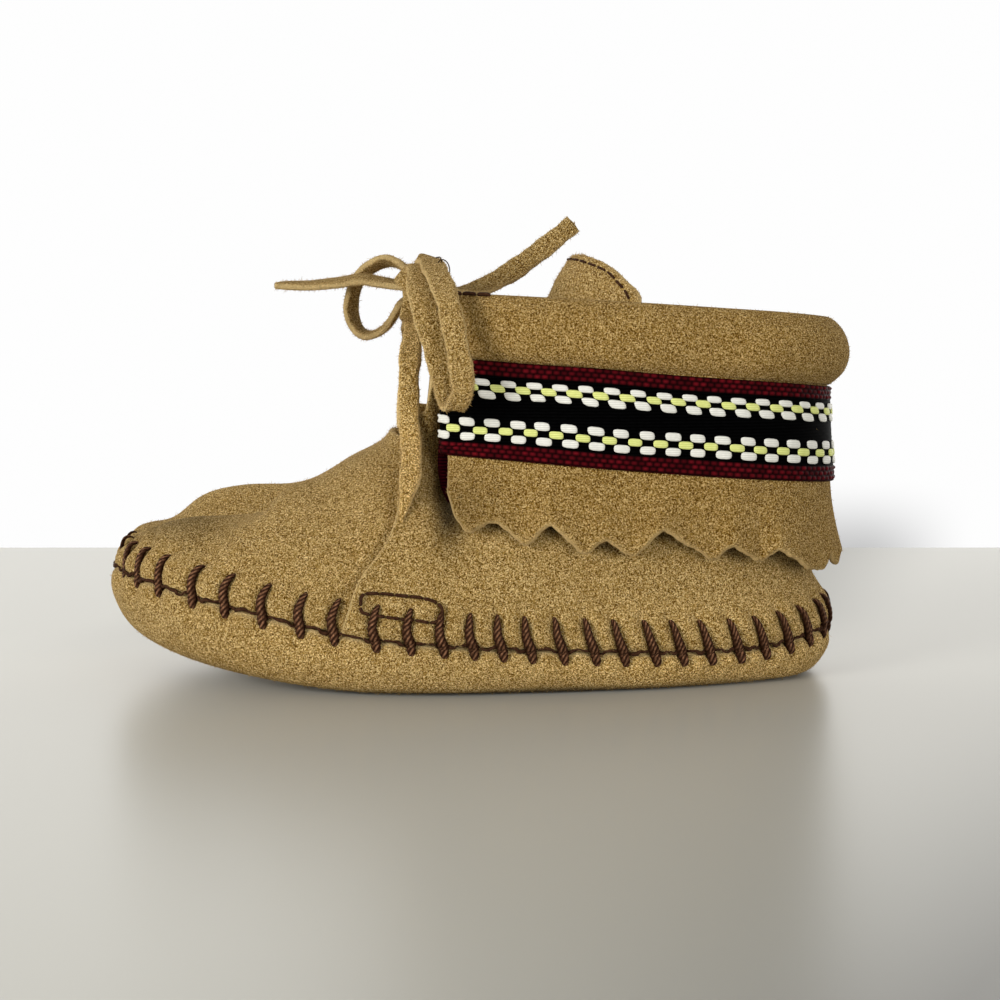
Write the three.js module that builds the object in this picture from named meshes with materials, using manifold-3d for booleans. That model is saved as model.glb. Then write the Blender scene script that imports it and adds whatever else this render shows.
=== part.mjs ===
// Infant's soft moccasin bootie in suede: a tray sole, a hollow upper with the quarters lapped over
// the vamp, a tongue, a collar turned down as a cuff with a pinked flap, a woven ribbon around the
// cuff and a thong lace tied in a bow.
// Millimetres, +Z up. The toe points to -X, the heel to +X, the outer side of the foot to -Y.
import * as THREE from "three";
import { mergeVertices } from "three/addons/utils/BufferGeometryUtils.js";
import Module from "manifold-3d";

// Driving dimensions
const SOLE_LENGTH = 120; // toe to heel
const ROLL_OVERHANG = 3; // how far the collar's roll stands out behind the sole
const BALL_WIDTH = 53; // width of the sole at the ball
const TOE_SPRING = 6.6; // lift of the toe's tip off the floor
const SPRING_LENGTH = 46; // length of sole, back from the tip, that lifts
const SPRING_POWER = 1.5; // how the lift grows towards the tip
const TOE_SWING = 2.4; // turn of the toe's tip towards the inner side
const SWING_LENGTH = 52; // length of shoe, back from the tip, that turns
const SUEDE = 1.4; // wall of the upper, the cuff and the tongue
const SOLE_WALL = 2; // wall of the tray
const INSOLE = 1.5; // thickness of the pad
const LAP = 1; // step of the quarters above the vamp
const GAP = 0.3; // clearance between neighbouring pieces
const LACE_WIDTH = 3.3; // suede thong
const LACE_THICKNESS = 1.3;
const RIBBON_WIDTH = 15.6;
const RIBBON_THICKNESS = 0.8;
const RIBBON_DROP = 11.7; // ribbon's top edge below the collar line
const QUARTER_FRONT = 12.5; // front edge of the quarters, ahead of the shoe's middle
const CUFF_FRONT = 6; // front edge of the cuff, ahead of the shoe's middle

const TOE_X = -(SOLE_LENGTH + ROLL_OVERHANG) / 2; // tip of the toe
const AROUND = 44; // columns around a ring of the upper or the sole
const THROAT_RING = 5; // ring along which the vamp ends
const CUFF_RING = 6; // ring that the cuff follows in plan
const FRONT_HANG = 0.35; // share of the forward slant that the cuff keeps at its front ends
const NOTCH_RING = 5.45; // ring along which the quarter's front corner ends

/** Rows of numbers as objects with named columns. */
function table(columns, rows) {
  return rows.map((row) => Object.fromEntries(columns.map((name, k) => [name, row[k]])));
}

// Rings of a form, from the sole seam upwards or downwards. Toe and heel are the ring's ends as
// shares of the sole's length, width is a share of the ball's width, taper the excess of the front
// half over the back half and blunt the fullness of the ends (lower is squarer). The heights at five
// places from toe to heel are in millimetres before the toe is sprung.
const RING_COLUMNS = ["toe", "heel", "width", "taper", "blunt", "zToe", "zBall", "zWaist", "zSide", "zHeel"];
const UPPER_RINGS = table(RING_COLUMNS, [
  [0.006, 0.998, 0.985, 0.17, 0.74, 12.0, 11.8, 8.1, 6.3, 9.0],
  [0.018, 0.986, 0.975, 0.17, 0.74, 17.8, 15.6, 11.0, 11.3, 12.6],
  [0.079, 0.966, 0.93, 0.16, 0.76, 22.1, 20.5, 15.6, 15.6, 16.6],
  [0.196, 0.957, 0.85, 0.13, 0.78, 28.4, 26.9, 21.6, 21.6, 22.1],
  [0.3125, 0.957, 0.78, 0.08, 0.76, 35.6, 32.6, 28.6, 28.1, 28.1],
  [0.383, 0.961, 0.74, 0.03, 0.72, 40.8, 38.6, 36.6, 35.6, 35.1],
  [0.3625, 0.965, 0.725, -0.02, 0.68, 51.6, 50.1, 47.6, 46.6, 45.6],
  [0.3625, 0.968, 0.715, -0.02, 0.68, 58.6, 56.9, 55.4, 53.8, 52.8],
]);
const SOLE_RINGS = table(RING_COLUMNS, [
  [0.006, 0.998, 0.985, 0.17, 0.74, 12.0 - GAP, 11.8 - GAP, 8.1 - GAP, 6.3 - GAP, 9.0 - GAP],
  [0.0, 1.0, 1.0, 0.17, 0.74, 7.6, 6.6, 3.8, 4.0, 4.8],
  [0.022, 0.981, 0.935, 0.17, 0.74, 2.7, 1.8, 0.9, 0.9, 1.2],
  [0.075, 0.952, 0.81, 0.17, 0.74, 0, 0, 0, 0, 0],
  [0.075, 0.952, 0.52, 0.17, 0.74, 0, 0, 0, 0, 0],
  [0.075, 0.952, 0.24, 0.17, 0.74, 0, 0, 0, 0, 0],
  [0.075, 0.952, 0.0, 0.17, 0.74, 0, 0, 0, 0, 0],
]);

// Front edge of the lapped quarter at each ring of the upper, ahead of the shoe's middle.
const LAP_FRONTS = [19, 18.2, 16.4, 13.2, QUARTER_FRONT, QUARTER_FRONT, QUARTER_FRONT, QUARTER_FRONT];

// Section of the cuff's middle surface, from the shaft's edge over the roll and down the flap: how
// far it stands off the shaft's face, how far below the collar line, and how much more it stands off
// at the heel, where the shaft leans in under it.
const CUFF_SECTION = table(["off", "drop", "heelOff"], [
  [-0.7, 6.0, 0],
  [-0.5, 2.8, 0],
  [1.5, 0.7, 0.3],
  [3.6, 2.5, 0.8],
  [4.3, 5.6, 1],
  [3.6, 8.5, 0.8],
  [2.1, 10.5, 0.3],
  [1.5, RIBBON_DROP, 0],
  [1.5, RIBBON_DROP + 0.5 * RIBBON_WIDTH, 0.1],
  [1.6, RIBBON_DROP + RIBBON_WIDTH, 0.4],
]);
const RIBBON_ROWS = 3; // the last rows of the section carry the ribbon
const ROLL_RISE = 6.3; // collar line above the shaft's edge

// Corners of the flap's pinked edge from the front to the middle of the heel, alternately points and
// notches: place along the shoe and height.
const PINKS = table(["x", "z"], [
  [-6.1, 31.6],
  [-5.2, 27.6],
  [-1.4, 25.3],
  [2.8, 27.6],
  [7.2, 23.4],
  [11.3, 27.3],
  [16.3, 22.0],
  [19.5, 24.6],
  [24.4, 21.4],
  [28.1, 26.2],
  [36.8, 20.7],
  [39.3, 23.4],
  [43.8, 20.3],
  [46.7, 22.4],
  [52.2, 18.5],
  [56.2, 20.0],
  [58.2, 17.8],
]);

// Tongue, from its tail under the vamp to its rounded top: middle line, half width, and how far the
// edges sweep back and drop as shares of the square of the distance from the middle.
const TONGUE_ROWS = table(["x", "z", "half", "sweep", "drop"], [
  [-21.5, 33.2, 10, 0.02, 0.03],
  [-15, 37.4, 11.5, 0.03, 0.025],
  [-8, 42.8, 12, 0.045, 0.015],
  [2, 51.8, 13.5, 0.055, 0.005],
  [10.3, 61.2, 14.5, 0.057, 0],
  [12.8, 65.4, 13, 0.057, 0],
  [14.5, 67.8, 9.5, 0.057, 0],
  [15.1, 68.5, 5, 0.057, 0],
]);

// Crossing of the lace over the tongue, from the outer side to the inner side; below it a leg lies on
// each quarter's face, at the rings given, as far ahead of the shoe's middle as the lean says.
const LEG_RINGS = [3.7, 4.1, 4.5, 4.9, 5.3];
const LEG_LEAN = { outer: 11, inner: 11.6 };
const CROSSING = [
  [-10.4, -12, 52.1],
  [-10.6, -6.6, 57.4],
  [-11.2, 0, 58.8],
  [-11.8, 6.6, 57.4],
  [-12.0, 12, 52.1],
];

// Middle lines of the bow's pieces. Turn is the angle of the thong's width from across the shoe (0)
// to along it (90).
const LACE_COLUMNS = ["x", "y", "z", "turn"];
const LACE_PATHS = {
  lace_loop_near: table(LACE_COLUMNS, [
    [-9.4, -5.4, 66.4, 60],
    [-7.2, -12.2, 67.6, 80],
    [-5.6, -19.4, 66, 90],
    [-3.6, -25.4, 58, 85],
    [-1.9, -26, 50.1, 45],
    [-1.8, -25.8, 46.2, 10],
    [-3.7, -25.2, 45, 0],
    [-5.5, -25, 47.2, 10],
    [-6.6, -24.8, 52.6, 60],
    [-8.8, -22, 60.4, 85],
    [-9.9, -13.6, 64, 85],
    [-10.6, -7.2, 64.4, 85],
  ]),
  lace_loop_far: table(LACE_COLUMNS, [
    [-12.6, 2.0, 68.2, 10],
    [-15.5, 3.6, 69.5, 10],
    [-19.3, 6, 67.7, 15],
    [-21.7, 8.5, 64.6, 20],
    [-22.6, 10, 60.6, 20],
    [-21.6, 10, 57.4, 20],
    [-19.3, 8.8, 56, 15],
    [-16.6, 7, 57, 10],
    [-15.2, 5.6, 58.5, 10],
  ]),
  lace_end_front: table(LACE_COLUMNS, [
    [-16.2, 0.4, 64.8, 0],
    [-20, 2.5, 65.6, 0],
    [-24, 5, 64.8, 5],
    [-29.5, 8.5, 64.6, 5],
    [-35.6, 12, 64.6, 5],
  ]),
  lace_end_back: table(LACE_COLUMNS, [
    [-9.2, 0.5, 63.6, 60],
    [-2.2, 5.5, 63.6, 80],
    [3.5, 9, 66, 90],
    [9.6, 11, 70, 90],
    [16.1, 12, 75.2, 90],
  ]),
};
const KNOT = { x: -11.8, y: -2.6, z: 63.6, rx: 3.7, ry: 3.6, rz: 3.9 }; // middle and half sizes

// Fullness of the vamp over the inner toes: place, rise and spread
const FULLNESS = { x: -41, y: 13, rise: 2.4, long: 11, wide: 8, from: 16, over: 8 };

const wasm = await Module();
wasm.setup();

/** Value at t of a smooth curve through evenly spaced knots (Catmull-Rom, ends repeated). */
function through(knots, t) {
  const last = knots.length - 1;
  const i = Math.min(Math.max(Math.floor(t), 0), last - 1);
  const f = Math.min(Math.max(t - i, 0), 1);
  const a = knots[Math.max(i - 1, 0)];
  const b = knots[i];
  const c = knots[i + 1];
  const d = knots[Math.min(i + 2, last)];
  return b + 0.5 * f * (c - a + f * (2 * a - 5 * b + 4 * c - d + f * (3 * (b - c) + d - a)));
}

/** Value of a table's column at a fractional row. */
function column(rows, name, t) {
  return through(rows.map((row) => row[name]), t);
}

/** Lifts the toe and turns it inwards. */
function sprung(p) {
  const lift = Math.max(0, (TOE_X + SPRING_LENGTH - p.x) / SPRING_LENGTH);
  const turn = Math.max(0, (TOE_X + SWING_LENGTH - p.x) / SWING_LENGTH);
  return new THREE.Vector3(p.x, p.y + TOE_SWING * turn ** 2, p.z + TOE_SPRING * lift ** SPRING_POWER);
}

/** Rise of the vamp over the inner toes. */
function fullness(x, y, z) {
  const { rise, long, wide, from, over } = FULLNESS;
  const share = THREE.MathUtils.smoothstep(z, from, from + over);
  return rise * share * Math.exp(-(((x - FULLNESS.x) / long) ** 2) - ((y - FULLNESS.y) / wide) ** 2);
}

/** Ends of a ring along the shoe: middle and half length. */
function ringSpan(rings, level) {
  const toe = TOE_X + SOLE_LENGTH * column(rings, "toe", level);
  const heel = TOE_X + SOLE_LENGTH * column(rings, "heel", level);
  return { middle: (toe + heel) / 2, half: (heel - toe) / 2 };
}

/** Point of a form: level counts the rings, angle runs from the toe (0) by the outer side to the heel (pi). */
function formPoint(rings, level, angle) {
  const { middle, half } = ringSpan(rings, level);
  const side = Math.sin(angle);
  const reach = Math.abs(side) ** column(rings, "blunt", level) * Math.sign(side);
  const spread = 1 + column(rings, "taper", level) * Math.cos(angle);
  const y = -0.5 * BALL_WIDTH * column(rings, "width", level) * reach * spread;
  const heights = ["zToe", "zBall", "zWaist", "zSide", "zHeel"].map((name) => column(rings, name, level));
  const mirrored = [heights[1], ...heights, heights[3]];
  const station = 4 * Math.acos(Math.cos(angle)) / Math.PI;
  const x = middle - half * Math.cos(angle);
  const z = Math.max(0, through(mirrored, station + 1));
  return sprung(new THREE.Vector3(x, y, z + fullness(x, y, z)));
}

/** Point of a form moved along its normal, outwards when positive; level in plan at the seam. */
function offsetPoint(rings, level, angle, offset) {
  const last = rings.length - 1;
  const low = Math.max(level - 0.02, 0);
  const high = Math.min(level + 0.02, last);
  const along = formPoint(rings, high, angle).sub(formPoint(rings, low, angle));
  const around = formPoint(rings, level, angle + 0.01).sub(formPoint(rings, level, angle - 0.01));
  const normal = around.cross(along);
  normal.z *= Math.min(1, level / 0.5);
  const p = formPoint(rings, level, angle);
  if (normal.length() < 1e-9) {
    return p;
  }
  return p.addScaledVector(normal.normalize(), offset);
}

/** Angle at which a ring passes a place along the shoe, on the outer side. */
function angleAt(rings, level, x) {
  const { middle, half } = ringSpan(rings, level);
  return Math.acos(Math.min(Math.max((middle - x) / half, -1), 1));
}

/** Geometry from points and triangles, turned so that its faces look outwards. */
function closed(points, faces) {
  let volume = 0;
  const cross = new THREE.Vector3();
  for (const [a, b, c] of faces) {
    volume += cross.crossVectors(points[b], points[c]).dot(points[a]);
  }
  const index = faces.flatMap(([a, b, c]) => (volume < 0 ? [a, c, b] : [a, b, c]));
  const geometry = new THREE.BufferGeometry();
  geometry.setAttribute("position", new THREE.Float32BufferAttribute(points.flatMap((p) => [p.x, p.y, p.z]), 3));
  geometry.setIndex(index);
  return mergeVertices(geometry, 1e-4);
}

/** Two triangles of a quad. */
function quad(a, b, c, d) {
  return [[a, b, c], [a, c, d]];
}

/** Solid between two grids of points with the same rows and columns; a ring's columns close up. */
function walled(rows, columns, outer, inner, ring) {
  const points = [];
  for (const face of [outer, inner]) {
    for (let r = 0; r < rows; r += 1) {
      for (let c = 0; c < columns; c += 1) {
        points.push(face(r, c));
      }
    }
  }
  const at = (side, r, c) => (side * rows + r) * columns + (c % columns);
  const faces = [];
  const span = ring ? columns : columns - 1;
  for (let c = 0; c < span; c += 1) {
    for (let r = 0; r < rows - 1; r += 1) {
      faces.push(...quad(at(0, r, c), at(0, r, c + 1), at(0, r + 1, c + 1), at(0, r + 1, c)));
      faces.push(...quad(at(1, r, c), at(1, r + 1, c), at(1, r + 1, c + 1), at(1, r, c + 1)));
    }
    faces.push(...quad(at(0, 0, c), at(1, 0, c), at(1, 0, c + 1), at(0, 0, c + 1)));
    const top = rows - 1;
    faces.push(...quad(at(0, top, c), at(0, top, c + 1), at(1, top, c + 1), at(1, top, c)));
  }
  for (let r = 0; !ring && r < rows - 1; r += 1) {
    const end = columns - 1;
    faces.push(...quad(at(0, r, 0), at(0, r + 1, 0), at(1, r + 1, 0), at(1, r, 0)));
    faces.push(...quad(at(0, r, end), at(1, r, end), at(1, r + 1, end), at(0, r + 1, end)));
  }
  return closed(points, faces);
}

/** Solid from one ring grid whose first and last rows each close along the shoe's middle line. */
function zipped(rows, columns, point) {
  const points = [];
  for (let r = 0; r < rows; r += 1) {
    for (let c = 0; c < columns; c += 1) {
      points.push(point(r, c));
    }
  }
  const at = (r, c) => r * columns + (c % columns);
  const faces = [];
  for (let r = 0; r < rows - 1; r += 1) {
    for (let c = 0; c < columns; c += 1) {
      faces.push(...quad(at(r, c), at(r, c + 1), at(r + 1, c + 1), at(r + 1, c)));
    }
  }
  const geometry = closed(points, faces);
  const kept = [];
  for (let k = 0; k < geometry.index.count; k += 3) {
    const [a, b, c] = [0, 1, 2].map((n) => geometry.index.getX(k + n));
    if (a !== b && b !== c && c !== a) {
      kept.push(a, b, c);
    }
  }
  geometry.setIndex(kept);
  return geometry;
}

/** Solid body of a geometry, for joining and cutting. */
function body(geometry) {
  const vertProperties = new Float32Array(geometry.attributes.position.array);
  const triVerts = new Uint32Array(geometry.index.array);
  return new wasm.Manifold(new wasm.Mesh({ numProp: 3, vertProperties, triVerts }));
}

/** Geometry of a solid body. */
function faceted(solid) {
  const mesh = solid.getMesh();
  const geometry = new THREE.BufferGeometry();
  geometry.setAttribute("position", new THREE.Float32BufferAttribute(mesh.vertProperties, 3));
  geometry.setIndex(Array.from(mesh.triVerts));
  return geometry;
}

/** Angle of a column around a ring. */
function turnOf(c) {
  return (2 * Math.PI * c) / AROUND;
}

// Sole: outer face from the tread's middle line up to the seam, then the inner face back down
const treadLevels = [6, 5, 4, 3, 2.5, 2, 1.5, 1, 0.5, 0];
const trayLevels = [0, 0.7, 1.4, 2, 2.5, 3, 4.5, 6];
function solePoint(r, c) {
  if (r < treadLevels.length) {
    return formPoint(SOLE_RINGS, treadLevels[r], turnOf(c));
  }
  const level = trayLevels[r - treadLevels.length];
  const p = offsetPoint(SOLE_RINGS, level, turnOf(c), level === 6 ? 0 : SOLE_WALL);
  if (level === 6) {
    p.z += SOLE_WALL;
  }
  return p;
}
const soleGeometry = zipped(treadLevels.length + trayLevels.length, AROUND, solePoint);

// Insole: pad on the tray's floor, inside the tread's outline
const PAD_SHARE = 0.95;
const PAD_LENGTH = 0.985;
const padRows = [[0, 0], [0.5, 0], [PAD_SHARE, 0], [PAD_SHARE, 1], [0.5, 1], [0, 1]];
function insolePoint(r, c) {
  const [share, top] = padRows[r];
  const rim = formPoint(SOLE_RINGS, 3, turnOf(c));
  const swing = sprung(new THREE.Vector3(rim.x, 0, 0)).y;
  const flat = new THREE.Vector3(rim.x * PAD_LENGTH, (rim.y - swing) * share, SOLE_WALL + GAP + INSOLE * top);
  return sprung(flat);
}
const insoleGeometry = zipped(padRows.length, AROUND, insolePoint);

// Upper: one wall from the seam to the shaft's edge
const shellLevels = [0, 0.5, 1, 1.5, 2, 2.5, 3, 3.5, 4, 4.5, 5, 5.5, 6, 7];
const shell = walled(
  shellLevels.length,
  AROUND,
  (r, c) => offsetPoint(UPPER_RINGS, shellLevels[r], turnOf(c), 0),
  (r, c) => offsetPoint(UPPER_RINGS, shellLevels[r], turnOf(c), -SUEDE),
  true,
);

/** Patch of the upper between two fronts along the shoe, running by the heel or by the toe. */
function patch(levels, columns, fronts, byHeel, low, high) {
  const point = (lift) => (r, c) => {
    const level = Math.min(levels[r], UPPER_RINGS.length - 1);
    const over = levels[r] - level;
    const front = angleAt(UPPER_RINGS, level, -fronts(level));
    const from = byHeel ? front : -front;
    const to = byHeel ? 2 * Math.PI - front : front;
    const angle = from + ((to - from) * c) / (columns - 1);
    const p = offsetPoint(UPPER_RINGS, level, angle, lift(level));
    p.z += 20 * over;
    return p;
  };
  return walled(levels.length, columns, point(high), point(low), false);
}

// Quarters: the lap stands proud of the vamp and thins out towards the sole seam
const quarterLevels = [0.02, 0.5, 1, 1.5, 2, 2.5, 3, 3.5, 4, 4.5, 5, 5.5, 6, 6.98];
const lapHeight = (level) => LAP * Math.min(1, 0.25 + level);
const quarters = patch(quarterLevels, 37, (level) => through(LAP_FRONTS, level), true, () => -SUEDE / 2, lapHeight);

// Openings: the throat ahead of the quarters, and the notch ahead of the cuff
const throat = patch([THROAT_RING, 5.5, 6, 6.5, 7, 7.4], 17, () => QUARTER_FRONT, false, () => -4, () => 4);
const notch = patch([NOTCH_RING, 5.8, 6.2, 6.6, 7, 7.4], 19, () => CUFF_FRONT + 0.2, false, () => -4, () => 4);

const upperGeometry = faceted(body(shell).add(body(quarters)).subtract(body(throat)).subtract(body(notch)));

/** Level of the shaft at a height and angle. */
function levelAt(angle, z) {
  let low = 1;
  let high = UPPER_RINGS.length - 1;
  for (let k = 0; k < 16; k += 1) {
    const half = (low + high) / 2;
    if (formPoint(UPPER_RINGS, half, angle).z < z) {
      low = half;
    } else {
      high = half;
    }
  }
  return (low + high) / 2;
}

/** Direction out of the shaft in plan; towards the front the cuff hangs out sideways. */
function outwards(angle, hang = 1) {
  const along = formPoint(UPPER_RINGS, CUFF_RING, angle + 0.02).sub(formPoint(UPPER_RINGS, CUFF_RING, angle - 0.02));
  const out = new THREE.Vector3(along.y, -along.x, 0).normalize();
  out.x *= out.x < 0 ? hang : 1;
  return out.normalize();
}

/** Half width of the upper at a height and a place along the shoe. */
function halfWidthAt(x, z) {
  let low = 0.05;
  let high = Math.PI - 0.05;
  for (let k = 0; k < 20; k += 1) {
    const half = (low + high) / 2;
    if (formPoint(UPPER_RINGS, levelAt(half, z), half).x < x) {
      low = half;
    } else {
      high = half;
    }
  }
  return -formPoint(UPPER_RINGS, levelAt(low, z), low).y;
}

/** Point around the cuff: off the quarter's face, at a height, pushed out where the foot is wider. */
function cuffPoint(angle, off, z) {
  const p = formPoint(UPPER_RINGS, CUFF_RING, angle);
  const side = Math.sign(Math.sin(angle));
  const wider = z < 45.6 ? Math.max(0, halfWidthAt(p.x, z) - Math.abs(p.y)) : 0;
  p.y -= side * wider;
  p.addScaledVector(outwards(angle, FRONT_HANG), LAP + off);
  p.z = z;
  return p;
}

/** Height of the collar line. */
function collarLine(angle) {
  return formPoint(UPPER_RINGS, UPPER_RINGS.length - 1, angle).z + ROLL_RISE;
}

/** How near an angle is to the heel, 0 at the sides and 1 behind. */
function heelShare(angle) {
  return Math.max(0, -Math.cos(angle)) ** 2;
}

/** Angle at which the flap passes a place along the shoe, on the outer side. */
function flapAngle({ x, z }) {
  let low = 0;
  let high = Math.PI;
  for (let k = 0; k < 30; k += 1) {
    const half = (low + high) / 2;
    if (cuffPoint(half, CUFF_SECTION.at(-1).off + CUFF_SECTION.at(-1).heelOff * heelShare(half), z).x < x) {
      low = half;
    } else {
      high = half;
    }
  }
  return (low + high) / 2;
}

// Stations around the cuff: every corner of the pinked edge and one between each two
const pinkAngles = PINKS.map(flapAngle);
pinkAngles[pinkAngles.length - 1] = Math.PI;
const nearStations = pinkAngles.flatMap((angle, k) => {
  const next = pinkAngles[k + 1];
  const here = { angle, edge: PINKS[k].z };
  const between = { angle: (angle + next) / 2, edge: (PINKS[k].z + PINKS[k + 1]?.z) / 2 };
  return next === undefined ? [here] : [here, between];
});
const farStations = nearStations.slice(0, -1).reverse();
const stations = [...nearStations, ...farStations.map(({ angle, edge }) => ({ angle: 2 * Math.PI - angle, edge }))];

/** Middle surface of the cuff at a station: rows of the section, then two more down to the edge. */
function cuffMiddle(r, c) {
  const { angle, edge } = stations[c];
  const last = CUFF_SECTION.length - 1;
  const row = CUFF_SECTION[Math.min(r, last)];
  const hem = collarLine(angle) - CUFF_SECTION[last].drop;
  const share = Math.max(0, r - last) / 2;
  const z = r <= last ? collarLine(angle) - row.drop : hem + (edge - hem) * share;
  const flare = 0.5 * share;
  return cuffPoint(angle, row.off + row.heelOff * heelShare(angle) + flare, z);
}

/** Face at a distance off the cuff's middle surface, along its own normal. */
function cuffFace(off) {
  const rows = CUFF_SECTION.length + 2;
  return (r, c) => {
    const p = cuffMiddle(r, c);
    const down = cuffMiddle(Math.min(r + 1, rows - 1), c).sub(cuffMiddle(Math.max(r - 1, 0), c));
    const out = outwards(stations[c].angle, FRONT_HANG);
    const across = new THREE.Vector3(-out.y, out.x, 0);
    return p.addScaledVector(down.cross(across).normalize(), off);
  };
}
const cuffRows = CUFF_SECTION.length + 2;
const cuffGeometry = walled(cuffRows, stations.length, cuffFace(SUEDE / 2), cuffFace(-SUEDE / 2), false);

// Ribbon: band around the flap, clear of it
function ribbonFace(off) {
  const face = cuffFace(SUEDE / 2 + GAP + off);
  return (r, c) => face(r + CUFF_SECTION.length - RIBBON_ROWS, c);
}
const ribbonGeometry = walled(RIBBON_ROWS, stations.length, ribbonFace(RIBBON_THICKNESS), ribbonFace(0), false);

// Tongue: curved sheet
const tongueColumns = 9;
const tongueSteps = 15;
function tongueFace(side) {
  const at = (t, u) => {
    const y = u * column(TONGUE_ROWS, "half", t);
    const x = column(TONGUE_ROWS, "x", t) + column(TONGUE_ROWS, "sweep", t) * y * y;
    return new THREE.Vector3(x, y, column(TONGUE_ROWS, "z", t) - column(TONGUE_ROWS, "drop", t) * y * y);
  };
  return (r, c) => {
    const t = ((TONGUE_ROWS.length - 1) * r) / (tongueSteps - 1);
    const u = -1 + (2 * c) / (tongueColumns - 1);
    const along = at(Math.min(t + 0.05, TONGUE_ROWS.length - 1), u).sub(at(Math.max(t - 0.05, 0), u));
    const across = at(t, u + 0.05).sub(at(t, u - 0.05));
    return at(t, u).addScaledVector(along.cross(across).normalize(), (side * SUEDE) / 2);
  };
}
const tongueGeometry = walled(tongueSteps, tongueColumns, tongueFace(1), tongueFace(-1), false);

/** Flat thong along a table of places, its width turned as the table says. */
function thong(rows, steps) {
  const at = (t) => new THREE.Vector3(column(rows, "x", t), column(rows, "y", t), column(rows, "z", t));
  const last = rows.length - 1;
  const face = (side) => (r, c) => {
    const t = (last * r) / steps;
    const tangent = at(Math.min(t + 0.05, last)).sub(at(Math.max(t - 0.05, 0))).normalize();
    const turn = THREE.MathUtils.degToRad(column(rows, "turn", t));
    const width = new THREE.Vector3(Math.sin(turn), Math.cos(turn), 0);
    width.addScaledVector(tangent, -width.dot(tangent)).normalize();
    const depth = tangent.clone().cross(width);
    const share = c - 0.5;
    return at(t).addScaledVector(width, share * LACE_WIDTH).addScaledVector(depth, (side * LACE_THICKNESS) / 2);
  };
  return walled(steps + 1, 2, face(1), face(-1), false);
}

/** Leg of the lace on a quarter's face, from its foot upwards. */
function leg(lean, mirror) {
  return LEG_RINGS.map((level) => {
    const off = lapHeight(level) + 4 * GAP + LACE_THICKNESS / 2;
    const angle = angleAt(UPPER_RINGS, level, -lean);
    const p = offsetPoint(UPPER_RINGS, level, angle, off);
    const out = outwards(angle);
    const turn = THREE.MathUtils.radToDeg(Math.atan2(-out.y, mirror * out.x));
    return { x: p.x, y: mirror * p.y, z: p.z, turn };
  });
}
const crossing = CROSSING.map(([x, y, z]) => ({ x, y, z, turn: 90 }));
const laceBar = [...leg(LEG_LEAN.outer, 1), ...crossing, ...leg(LEG_LEAN.inner, -1).reverse()];

// Knot: a lump of thong on the crossing
const knotGeometry = new THREE.SphereGeometry(1, 12, 8);
knotGeometry.scale(KNOT.rx, KNOT.ry, KNOT.rz);
knotGeometry.translate(KNOT.x, KNOT.y, KNOT.z);
knotGeometry.deleteAttribute("normal");
knotGeometry.deleteAttribute("uv");

const suede = new THREE.MeshStandardMaterial({ color: 0xb08d57, roughness: 0.95 });
const lining = new THREE.MeshStandardMaterial({ color: 0xc2a36d, roughness: 0.95 });
const woven = new THREE.MeshStandardMaterial({ color: 0x2a1216, roughness: 0.7 });

const bootie = new THREE.Group();
bootie.name = "moccasin_bootie";

/** Adds one named piece. */
function add(name, geometry, material) {
  const merged = mergeVertices(geometry, 1e-4);
  merged.computeVertexNormals();
  const mesh = new THREE.Mesh(merged, material);
  mesh.name = name;
  bootie.add(mesh);
}

add("sole", soleGeometry, suede);
add("insole", insoleGeometry, lining);
add("upper", upperGeometry, suede);
add("tongue", tongueGeometry, suede);
add("cuff", cuffGeometry, suede);
add("ribbon", ribbonGeometry, woven);
add("lace_bar", thong(laceBar, 2 * (laceBar.length - 1)), suede);
for (const [name, rows] of Object.entries(LACE_PATHS)) {
  add(name, thong(rows, 2 * (rows.length - 1)), suede);
}
add("lace_knot", knotGeometry, suede);

export default bootie;
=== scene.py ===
"""Looks of an infant's suede moccasin bootie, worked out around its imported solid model.

Places and sizes are in millimetres in the part's frame: toe to -X, outer side to -Y, floor at 0.
"""

import bmesh
import bpy
import numpy as np
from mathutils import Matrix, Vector


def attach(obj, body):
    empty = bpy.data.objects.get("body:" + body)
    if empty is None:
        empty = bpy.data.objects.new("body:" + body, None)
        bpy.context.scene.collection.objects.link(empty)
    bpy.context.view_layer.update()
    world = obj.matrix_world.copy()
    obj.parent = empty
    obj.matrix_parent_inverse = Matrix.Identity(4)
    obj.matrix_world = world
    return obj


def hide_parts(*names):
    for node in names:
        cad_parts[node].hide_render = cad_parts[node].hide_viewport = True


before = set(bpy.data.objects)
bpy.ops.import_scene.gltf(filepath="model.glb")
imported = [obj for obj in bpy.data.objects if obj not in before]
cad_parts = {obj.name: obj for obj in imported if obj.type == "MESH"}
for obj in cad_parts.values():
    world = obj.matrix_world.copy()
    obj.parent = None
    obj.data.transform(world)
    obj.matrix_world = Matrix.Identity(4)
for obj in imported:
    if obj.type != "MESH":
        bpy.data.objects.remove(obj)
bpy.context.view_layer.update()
MM = 0.001  # metres in a millimetre


# Table and studio light.
# A pale lacquered table top before a bright white wall, with a broad window on the toe's side and a
# camera low at the outer side. None of it belongs to the bootie.
EYE = (3.3, -310.0, 58.6)
EYE_DOWN = np.arctan(180 / 1852)  # tilt of the camera below level
FOCAL = 66.67  # on a 36 mm sensor
TABLE_BACK = 166.0  # the table's far edge
TABLE_REACH, TABLE_TOP = 1500.0, -0.05


def srgb(red, green, blue):
    """Linear colour of a screen colour in steps of 255."""
    share = np.array([red, green, blue]) / 255
    linear = np.where(share <= 0.04045, share / 12.92, ((share + 0.055) / 1.055) ** 2.4)
    return (*linear.tolist(), 1.0)


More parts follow.
